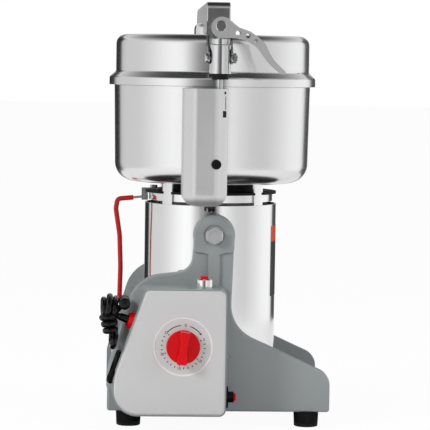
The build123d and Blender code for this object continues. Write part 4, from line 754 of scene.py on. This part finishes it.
@dataclass
class PowerLead:
    """The mains lead: out of the gland, wound to a hank beside the pod, and into its plug."""

    radius: float = 3.25
    gland_mouth: Place = (-85.954, -130.0, 116.5)
    gland_line: Place = (-0.933449, -0.149441, 0.3261)
    gland_proud: float = 4.5
    wraps: int = 3
    wrap_steps: int = 16
    wrap_top: float = 121.6
    wrap_foot: float = 101.0
    wrap_pitch: float = 6.75
    wrap_middle: tuple[float, float] = (-107.0, -3.5)  # X at the foot, and its change to the top
    wrap_half: tuple[float, float] = (4.4, 2.2)  # half the width there, and its change
    front: float = -146.4
    back: float = -110.5

    def _ahead(self, reach: float) -> Vector:
        """Return the place that is a reach in front of the gland's mouth."""
        return at(*(m + reach * d for m, d in zip(self.gland_mouth, self.gland_line)))

    def exit(self) -> Vector:
        """Return the place where the lead leaves the gland."""
        return self._ahead(self.gland_proud)

    def route(self) -> list[Vector]:
        """Return the lead's control points, from the gland to the plug."""
        points = [self.exit(), self._ahead(9.5), self._ahead(12.5)]
        points += [at(-101.8, -132.6, 121.8), at(-104.0, -136.0, 121.8)]
        for step in range(1, self.wraps * self.wrap_steps - 3):
            turns = step / self.wrap_steps
            height = self.wrap_top - self.wrap_pitch * turns
            points.append(at(*self._on_wrap(turns % 1.0, height), height))
        return points + [at(*place) for place in LEAD_LOOPS]

    def _on_wrap(self, share: float, height: float) -> tuple[float, float]:
        """Return the place on a wrap after a share of its turn, from its right-hand side.

        Args:
            share: share of the turn, from 0 to 1.
            height: the wrap's height there.

        Returns:
            X and Y in millimetres from the barrel's axis.
        """
        rise = (height - self.wrap_foot) / (self.wrap_top - self.wrap_foot)
        rise = min(1.0, max(0.0, rise))
        middle, half = (foot + change * rise for foot, change in (self.wrap_middle, self.wrap_half))
        bend = pi * half
        straight = (self.back - self.front) - 2.0 * half
        run = share * (2.0 * straight + 2.0 * bend)
        near, far = self.front + half, self.back - half
        if run < bend:
            return middle + half * cos(run / half), near - half * sin(run / half)
        run -= bend
        if run < straight:
            return middle - half, near + run
        run -= straight
        if run < bend:
            return middle - half * cos(run / half), far + half * sin(run / half)
        return middle + half, far - (run - bend)

    def build(self, wardrobe: Wardrobe) -> None:
        curve = bpy.data.curves.new("power_lead", "CURVE")
        curve.dimensions = "3D"
        spline = curve.splines.new("NURBS")
        points = self.route()
        spline.points.add(len(points) - 1)
        for made, point in zip(spline.points, points):
            made.co = (*point, 1.0)
        spline.order_u = 3
        spline.use_endpoint_u = True
        spline.resolution_u = 4
        lead = bpy.data.objects.new("power_lead", curve)
        bpy.context.collection.objects.link(lead)
        length = self._measured(lead)
        curve.bevel_depth = self.radius * MM
        curve.bevel_resolution = 5
        curve.use_fill_caps = True
        wardrobe.dress(lead, "black_cable", "base", "power_cord", "cord_hank")
        plug = self._plug(wardrobe)
        relief = self._relief(wardrobe)
        log.info("power lead measures %.3f m", length)

    def _measured(self, lead: Piece) -> float:
        """Return the length of a lead whose curve has no thickness yet."""
        bpy.context.view_layer.update()
        line = bpy.data.meshes.new_from_object(lead)
        length = sum(
            (line.vertices[a].co - line.vertices[b].co).length
            for a, b in (edge.vertices for edge in line.edges)
        )
        bpy.data.meshes.remove(line)
        return length

    def _relief(self, wardrobe: Wardrobe) -> Piece:
        """Return the tapered strain relief round the lead at the gland."""
        line, mouth = Vector(self.gland_line), self.exit()
        sleeve = add(
            "strain_relief", bpy.ops.mesh.primitive_cylinder_add,
            vertices=32, radius=4.5 * MM, depth=1.6 * MM, end_fill_type="NOTHING",
            location=mouth + line * 0.5 * MM, rotation=line.to_track_quat("Z", "Y").to_euler(),
        )

        def reach(place: Vector) -> float:
            """Return how far a place of the sleeve's mesh is in front of the gland."""
            return (sleeve.matrix_world @ place - mouth).dot(line)

        with editing(sleeve):
            for rise, taper in ((1.4, 0.96), (2.2, 0.95), (2.2, 0.96), (1.6, 0.97)):
                top = max(reach(v.co) for v in bmesh.from_edit_mesh(sleeve.data).verts)
                pick(sleeve, lambda c, n, t=top: reach(c) > t - 0.05 * MM, Element.VERT)
                draw_out(line * rise * MM)
                resize((taper, taper, taper), mouth + line * (top + rise * MM))
        wall = sleeve.modifiers.new("wall", "SOLIDIFY")
        wall.thickness, wall.offset = 0.5 * MM, -1.0
        settle(sleeve)
        soften(sleeve, 0.25, 2)
        wardrobe.dress(sleeve, "black_cable", "base")
        return sleeve

    def _plug(self, wardrobe: Wardrobe) -> Piece:
        """Return the moulded plug, which lies on the hank's right with its pins to the back."""
        low, high = (Vector(c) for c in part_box("power_plug"))
        width, height = 12.2 * MM, 12.6 * MM
        body_back = low.y + 36.0 * MM
        middle = Vector((high.x - width / 2, low.y, high.z - 1.6 * MM - height / 2))
        body = add(
            "plug_body", bpy.ops.mesh.primitive_cylinder_add,
            vertices=48, radius=0.5, depth=1.0,
            location=(middle.x, (low.y + body_back) / 2, middle.z), rotation=TO_FRONT,
            scale=(width * 0.98, height * 0.98, body_back - low.y),
        )
        settle(body)
        with editing(body):
            pick(body, lambda c, n: n.y < -0.9)
            for thickness in (0.7, 1.0, 1.2):
                inset(thickness)
            resize((0.6, 1.0, 0.6), middle)
            self._round_nose(body, middle)
            pick(body, lambda c, n: n.y > 0.9)
            inset(1.2)
            draw_out((0.0, -1.2 * MM, 0.0))
            pick(body, lambda c, n: abs(n.y) < 0.3)
            bpy.ops.mesh.subdivide(number_cuts=11)
            for band in range(4):
                waist = low.y + (7.0 + 6.0 * band) * MM
                pick(body, lambda c, n, w=waist: abs(c.y - w) < 1.4 * MM and abs(n.y) < 0.3)
                resize((0.94, 1.0, 0.94), Vector((middle.x, waist, middle.z)))
        soften(body, 0.7)
        wardrobe.dress(body, "black_plastic", "base", "power_plug")
        root = body_back - 4.0 * MM  # where the pins start inside the body
        for name, aside in (("plug_pin_left", -3.4), ("plug_pin_right", 3.4)):
            pin = add(
                name, bpy.ops.mesh.primitive_cylinder_add,
                vertices=24, radius=1.7 * MM, depth=high.y - root, rotation=TO_FRONT,
                location=(middle.x + aside * MM, (high.y + root) / 2, middle.z),
            )
            settle(pin)
            with editing(pin):
                pick(pin, lambda c, n: n.y > 0.9)
                inset(0.7)
            soften(pin, 0.5)
            wardrobe.dress(pin, "plate_steel", "base")
            pin.parent = body
        return body

    def _round_nose(self, body: Piece, middle: Vector) -> None:
        """Draw the rim of the plug's front end back, so that the end is domed."""
        mesh = bmesh.from_edit_mesh(body.data)
        nose = [v for v in mesh.verts if v.co.y < middle.y + 0.1 * MM]
        reaches = [(v.co - middle).xz.length for v in nose]
        rim = max(reaches)
        for vertex, reach in zip(nose, reaches):
            vertex.co.y += 2.6 * MM * (reach / rim) ** 4
        bmesh.update_edit_mesh(body.data)


# -------------------- timer dial
@dataclass
class TimerDial:
    """The printed dial in the cover's recess, and the rim round it, painted lighter than the cover
    as a painted highlight.
    """

    centre: tuple[float, float] = (-33.0, 91.0)
    floor: float = -142.2
    proud: float = 0.06  # how far the print stands off the floor
    radius: float = 30.5
    scale: float = 22.3  # radius of the arcs
    ticks: tuple[float, float] = (21.2, 23.2)  # inner and outer radius
    long_ticks: tuple[float, float] = (18.6, 20.2)
    # degrees clockwise from the top, and what stands there
    numbers: tuple[tuple[int, str], ...] = (
        (70, "5"), (130, "10"), (190, "15"), (250, "20"), (310, "25"),
    )

    def _point(self, angle: float, radius: float) -> Vector:
        """Return a place on the dial, by degrees clockwise from the top and a radius."""
        turn = radians(angle)
        return at(
            self.centre[0] + radius * sin(turn),
            self.floor - self.proud,
            self.centre[1] + radius * cos(turn),
        )

    def _bar(self, angle: float, ends: tuple[float, float], width: float) -> Piece:
        """Return a printed bar along a radius."""
        bar = film("bar", width, ends[1] - ends[0], width * 0.35, 2)
        turn = (TO_FRONT[0], radians(angle), 0.0)
        return settle(bar, self._point(angle, sum(ends) / 2), turn)

    def _arc(self, start: float, end: float, width: float = 0.9) -> Piece:
        """Return a printed arc between two angles."""
        edges = [self._point(start, self.scale + side * width / 2) for side in (-1, 1)]
        return swept_film(
            "arc", *edges, turn=radians(start - end), steps=max(6, int(abs(end - start) / 4)),
            centre=self._point(0.0, 0.0), axis=(0.0, 1.0, 0.0),
        )

    def _arrow(self, angle: float) -> Piece:
        """Return the arrow head at the end of the right-hand arc."""
        head = add("arrow_head", bpy.ops.mesh.primitive_circle_add,
                   vertices=3, radius=1.7 * MM, fill_type="NGON")
        turn = (TO_FRONT[0], radians(angle + 90.0), 0.0)
        return settle(head, self._point(angle - 2.0, self.scale), turn)

    def _digits(self, text: str, angle: float, radius: float, size: float) -> Piece:
        """Return printed digits, upright, centred on a place of the dial."""
        digits = add("digits", bpy.ops.object.text_add, rotation=TO_FRONT)
        digits.data.body = text
        digits.data.size = size * MM
        digits.data.align_x, digits.data.align_y = "CENTER", "CENTER"
        digits.data.offset = 0.05 * MM
        bpy.ops.object.convert(target="MESH")
        return settle(newest("digits"), self._point(angle, radius))

    def build(self, wardrobe: Wardrobe) -> None:
        """Print the marks and set the rim."""
        marks = [
            self._bar(angle, self.ticks, 0.95)
            for angle in range(70, 322, 12)
            if not any(abs(angle - place) < 5 for place, _ in self.numbers)
        ]
        for angle, text in self.numbers:
            marks.append(self._digits(text, angle, 22.8, 3.9))
            marks.append(self._bar(angle, self.long_ticks, 1.0))
        marks += [self._arc(-46.0, -6.0), self._arc(18.0, 50.0)]
        marks += [self._digits("0", 6.0, 22.4, 4.2), self._arrow(55.0)]
        dial = join(marks, "dial_print")
        with editing(dial):
            bpy.ops.mesh.remove_doubles(threshold=1e-7)
        wardrobe.dress(dial, "black_plastic", "base")
        self._rim(wardrobe)

    def _rim(self, wardrobe: Wardrobe) -> None:
        """Set the rim into the recess: a ring from the cover's face to its floor, painted lighter
        than the cover as a painted highlight on the recess's edge.
        """
        middle = at(self.centre[0], self.floor, self.centre[1])
        reach = self.radius - 1.9
        rim = add("dial_rim", bpy.ops.mesh.primitive_circle_add, vertices=128, radius=reach * MM,
                  fill_type="NOTHING", location=middle, rotation=TO_FRONT)
        settle(rim)
        with editing(rim):
            # steps outwards and towards the front, in millimetres
            for out, proud in ((0.25, 0.30), (0.5, 0.32), (0.7, 0.22), (0.4, 0.0), (0.0, -0.5)):
                grow = (reach + out) / reach
                draw_out((0.0, -proud * MM, 0.0))
                resize((grow, 1.0, grow), middle)
                reach *= grow
        bpy.ops.object.shade_smooth()
        wardrobe.dress(rim, "cover_paint", "base")


# -------------------- small fittings
@dataclass
class BarrelPanel:
    """The plain two-tone film on the barrel's right side."""

    radius: float = 71.2
    lift: float = 0.12
    start: float = -14.0  # degrees from +X towards the control side
    end: float = 26.0
    films: tuple[tuple[str, float, float], ...] = (  # name, bottom and top
        ("panel_upper", 192.0, 209.0), ("panel_lower", 133.0, 192.0),
    )

    def build(self, wardrobe: Wardrobe) -> None:
        """Lay the two films."""
        first, last = radians(-self.end), radians(-self.start)
        reach = self.radius + self.lift
        x, y = reach * cos(first), reach * sin(first)
        for name, low, high in self.films:
            sheet = swept_film(name, at(x, y, low), at(x, y, high), turn=first - last, steps=20,
                               centre=at(0.0, 0.0, low), axis=(0.0, 0.0, 1.0))
            bpy.ops.object.shade_smooth()
            wardrobe.dress(sheet, "black_plastic", "tilt_unit")


@dataclass
class HousingSlotShades:
    """Painted shade of the slot and the two catches' windows in the right-hand facet of the clamp
    housing: dark films laid on the facet where the openings are.
    """

    along: float = 0.66  # share of the facet's width, from its front corner
    lift: float = 0.05
    front_corner: tuple[float, float] = (-1.5, -140.0)
    side_corner: tuple[float, float] = (10.5, -129.0)
    # down from the housing's top, to the side, width and height of each
    slot_shades: tuple[tuple[float, float, float, float], ...] = (
        (4.2, 0.6, 2.6, 2.6), (14.6, 1.4, 0.9, 14.0), (26.0, 0.0, 5.2, 6.8),
    )

    def build(self, wardrobe: Wardrobe) -> None:
        """Lay the three dark films that paint the shade inside the openings."""
        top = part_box("clamp_housing")[1][2]
        start, end = at(*self.front_corner, 0.0), at(*self.side_corner, 0.0)
        side = (end - start).normalized()
        facing = Vector((side.y, -side.x, 0.0))
        turn = facing.to_track_quat("Z", "Y").to_euler()
        laid = []
        for drop, shift, width, height in self.slot_shades:
            place = (start + (end - start) * self.along + side * shift * MM
                     + facing * self.lift * MM + Vector((0.0, 0.0, top - drop * MM)))
            # each film is painted shade, standing for the shade inside one opening
            laid.append(settle(film("inlay", width, height, 0.35, 3), place, turn))
        marks = join(laid, "housing_slots")
        wardrobe.dress(marks, "black_plastic", "tilt_unit")


@dataclass
class FrameFittings:
    """The small cap in the near side frame."""

    cap: Place = (17.5, -88.0, 74.7)
    cap_radius: float = 2.6

    def build(self, wardrobe: Wardrobe) -> None:
        """Press the cap into the near frame's face."""
        cap = add("frame_cap", bpy.ops.mesh.primitive_cylinder_add, vertices=32,
                  radius=self.cap_radius * MM, depth=1.2 * MM, location=at(*self.cap),
                  rotation=TO_FRONT)
        settle(cap)
        with editing(cap):
            pick(cap, lambda c, n: n.y < -0.9)
            inset(0.7)
            inset(0.3, -0.4)
        soften(cap, 0.15, 2)
        wardrobe.dress(cap, "frame_paint", "base")


# -------------------- studio
@dataclass
class Studio:
    """Camera, soft lamps, pale floor, and the boards that metal shows round the mill."""

    stand: Place = (-0.1297, -2.4345, 0.3803)
    target: Place = (-0.0016, 0.01545, 0.2180)
    focal: float = 2259.0  # in pixels of the picture
    picture: int = 430
    sensor: float = 36.0
    roll: float = 0.9
    daylight: float = 0.46
    mirrored_horizon: float = 0.80  # brightness that metal shows round the horizon
    mirrored_zenith: float = 0.03  # and overhead
    lamp_target: Place = (0.0, 0.0, 0.22)
    # name, place, width and height, and watts of each lamp
    lamps: tuple[tuple[str, Place, tuple[float, float], float], ...] = (
        ("key", (-1.75, -1.45, 1.25), (0.45, 0.6), 27.0),
        ("fill", (1.9, -0.9, 0.9), (0.8, 1.3), 13.0),
        ("top", (-0.3, -0.2, 2.2), (0.9, 0.9), 7.0),
    )
    ring_radius: float = 0.95
    ring_height: float = 0.72
    # brightness of the boards round the mill, by degrees from the camera's side towards +X
    ring: tuple[tuple[float, float], ...] = (
        (-180, 0.5), (-168, 0.45), (-163, 0.02), (-139, 0.015), (-133, 0.6), (-123, 0.68),
        (-95, 0.7), (-80, 0.8), (-70, 0.9), (-60, 1), (-48, 1.09), (-37, 1.06), (-27, 0.65),
        (-20, 0.38), (-10, 0.2), (0, 0.1), (8, 0.12), (13, 0.8), (18, 0.95), (29, 0.8), (45, 0.68),
        (61, 0.67), (83, 0.84), (100, 0.98), (121, 1.02), (130, 0.85), (136, 0.1), (155, 0.03),
        (160, 0.4), (180, 0.5),
    )

    def build(self) -> None:
        """Set up everything round the mill."""
        self._camera()
        self._world()
        self._floor()
        for lamp in self.lamps:
            self._lamp(*lamp)
        self._ring()
        self._card_under()
        bpy.context.scene.view_settings.view_transform = "Standard"

    def _place(self, name: str, data: bpy.types.ID, place: Place, aim: Quaternion) -> Piece:
        """Return a new camera or lamp, put in its place and aimed."""
        made = bpy.data.objects.new(name, data)
        bpy.context.collection.objects.link(made)
        made.location = place
        made.rotation_mode = "QUATERNION"
        made.rotation_quaternion = aim
        return made

    def _camera(self) -> None:
        """Set the camera on its stand."""
        data = bpy.data.cameras.new("camera")
        data.sensor_width = self.sensor
        data.lens = self.focal / self.picture * self.sensor
        data.clip_start, data.clip_end = 0.1, 100.0
        look = (Vector(self.target) - Vector(self.stand)).to_track_quat("-Z", "Y")
        tilt = Quaternion((0.0, 0.0, 1.0), radians(self.roll))
        bpy.context.scene.camera = self._place("camera", data, self.stand, look @ tilt)

    def _lamp(self, name: str, place: Place, size: tuple[float, float], watts: float) -> None:
        """Hang one soft rectangular lamp that looks at the mill and isn't seen in metal.

        Args:
            name: its name.
            place: where it hangs.
            size: width and height.
            watts: its power.
        """
        data = bpy.data.lights.new(name, "AREA")
        data.shape = "RECTANGLE"
        data.size, data.size_y = size
        data.energy = watts
        aim = (Vector(self.lamp_target) - Vector(place)).to_track_quat("-Z", "Y")
        lamp = self._place(name, data, place, aim)
        lamp.visible_camera = False
        lamp.visible_glossy = False

    def _world(self) -> None:
        """Make the surroundings: even daylight, white where seen, paler at the horizon in metal."""
        world = bpy.data.worlds.new("studio")
        bpy.context.scene.world = world
        sky = Recipe(world, "ShaderNodeOutputWorld")
        seen = sky.ray("Camera")
        mirrored = (sky.ray("Glossy") + sky.ray("Transmission")).clamped()
        up = sky.split(sky.node("ShaderNodeTexCoord", output="Generated"))[2]
        up = up.slope(0.25, 0.95, soft=True)
        metal = self.mirrored_horizon - up * (self.mirrored_horizon - self.mirrored_zenith)
        strength = (1.0 - mirrored) * self.daylight + mirrored * metal
        strength = (1.0 - seen) * strength + seen
        white = (1.0, 1.0, 1.0, 1.0)
        sky.show(sky.node("ShaderNodeBackground", {"Color": white, "Strength": strength}))

    def _floor(self) -> None:
        """Lay the pale floor, which keeps the mill's shadow."""
        floor = add("floor", bpy.ops.mesh.primitive_plane_add, size=40.0)
        recipe = self._matt("floor_finish", 3.0, 0.90, 0.93, gloss=0.1)
        share = (recipe.ray("Camera") * 0.95 + recipe.ray("Glossy") * 0.55).clamped()
        white = recipe.node("ShaderNodeEmission", {"Strength": 1.0})
        recipe.show(
            recipe.node("ShaderNodeMixShader", {0: share, 1: recipe.shader, 2: white})
        )
        floor.data.materials.append(recipe.material)

    def _matt(
        self, name: str, scale: float, dark: float, light: float, gloss: float = 0.0
    ) -> Surface:
        """Return a matt finish that drifts between two greys."""
        recipe = Surface(name)
        tone = recipe.tint(recipe.noise(scale), (dark,) * 3, (light,) * 3)
        recipe.set(Base_Color=tone, Roughness=0.9, Specular_IOR_Level=gloss)
        return recipe

    def _ring(self) -> None:
        """Stand the ring of pale and dark boards round the mill."""
        ring = add(
            "studio_ring", bpy.ops.mesh.primitive_cylinder_add,
            vertices=180, radius=self.ring_radius, depth=self.ring_height, end_fill_type="NOTHING",
            location=(0.0, 0.0, self.ring_height / 2 + 0.003),
        )
        recipe = self._matt("studio_ring_finish", 6.0, 0.01, 0.014)
        x, y, _ = recipe.split(recipe.position())
        bearing = x.bearing(y * -1.0) * (180.0 / pi)
        glow: Signal | float = self.ring[0][1]
        for (start, before), (end, after) in zip(self.ring, self.ring[1:]):
            glow = bearing.slope(start, end) * (after - before) + glow
        grey = recipe.node("ShaderNodeCombineColor", dict.fromkeys(range(3), glow))
        recipe.set(Emission_Color=grey, Emission_Strength=1.0)
        self._stand(ring, recipe)

    def _card_under(self) -> None:
        """Lay the dark card under the mill."""
        card = add("card_under", bpy.ops.mesh.primitive_circle_add,
                   vertices=64, radius=0.30, fill_type="NGON", location=(0.0, 0.0, 0.004))
        self._stand(card, self._matt("card_under_finish", 6.0, 0.012, 0.02))

    def _stand(self, card: Piece, recipe: Surface) -> None:
        """Give a board its finish and let it be seen only as a reflection."""
        settle(card)
        card.data.materials.append(recipe.material)
        card.visible_camera = False
        card.visible_diffuse = False
        card.visible_shadow = False
        card.visible_transmission = False


# -------------------- the mill
class MillDressing:
    """Lays the finishes on every carried-over solid."""

    def build(self, frame: Mapping[str, object], wardrobe: Wardrobe) -> None:
        """Give every CAD node its finish.

        Args:
            wardrobe: the materials.
        """
        for name, piece in frame["nodes"].items():
            if piece is None or not piece.material_slots:
                continue
            slot = piece.material_slots[0].material.name.split(".")[0]
            finish = wardrobe.material(name, slot)
            for holder in piece.material_slots:
                holder.material = finish
            log.info("%s: %s", name, finish.name)


def main() -> None:
    """Dress the mill and set up the studio."""
    logging.basicConfig(level=logging.INFO, format="%(message)s")
    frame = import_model()
    wardrobe = Wardrobe()
    Studio().build()
    PowerLead().build(wardrobe)
    MillDressing().build(frame, wardrobe)
    TimerDial().build(wardrobe)
    BarrelPanel().build(wardrobe)
    HousingSlotShades().build(wardrobe)
    FrameFittings().build(wardrobe)


if __name__ == "__main__":
    main()
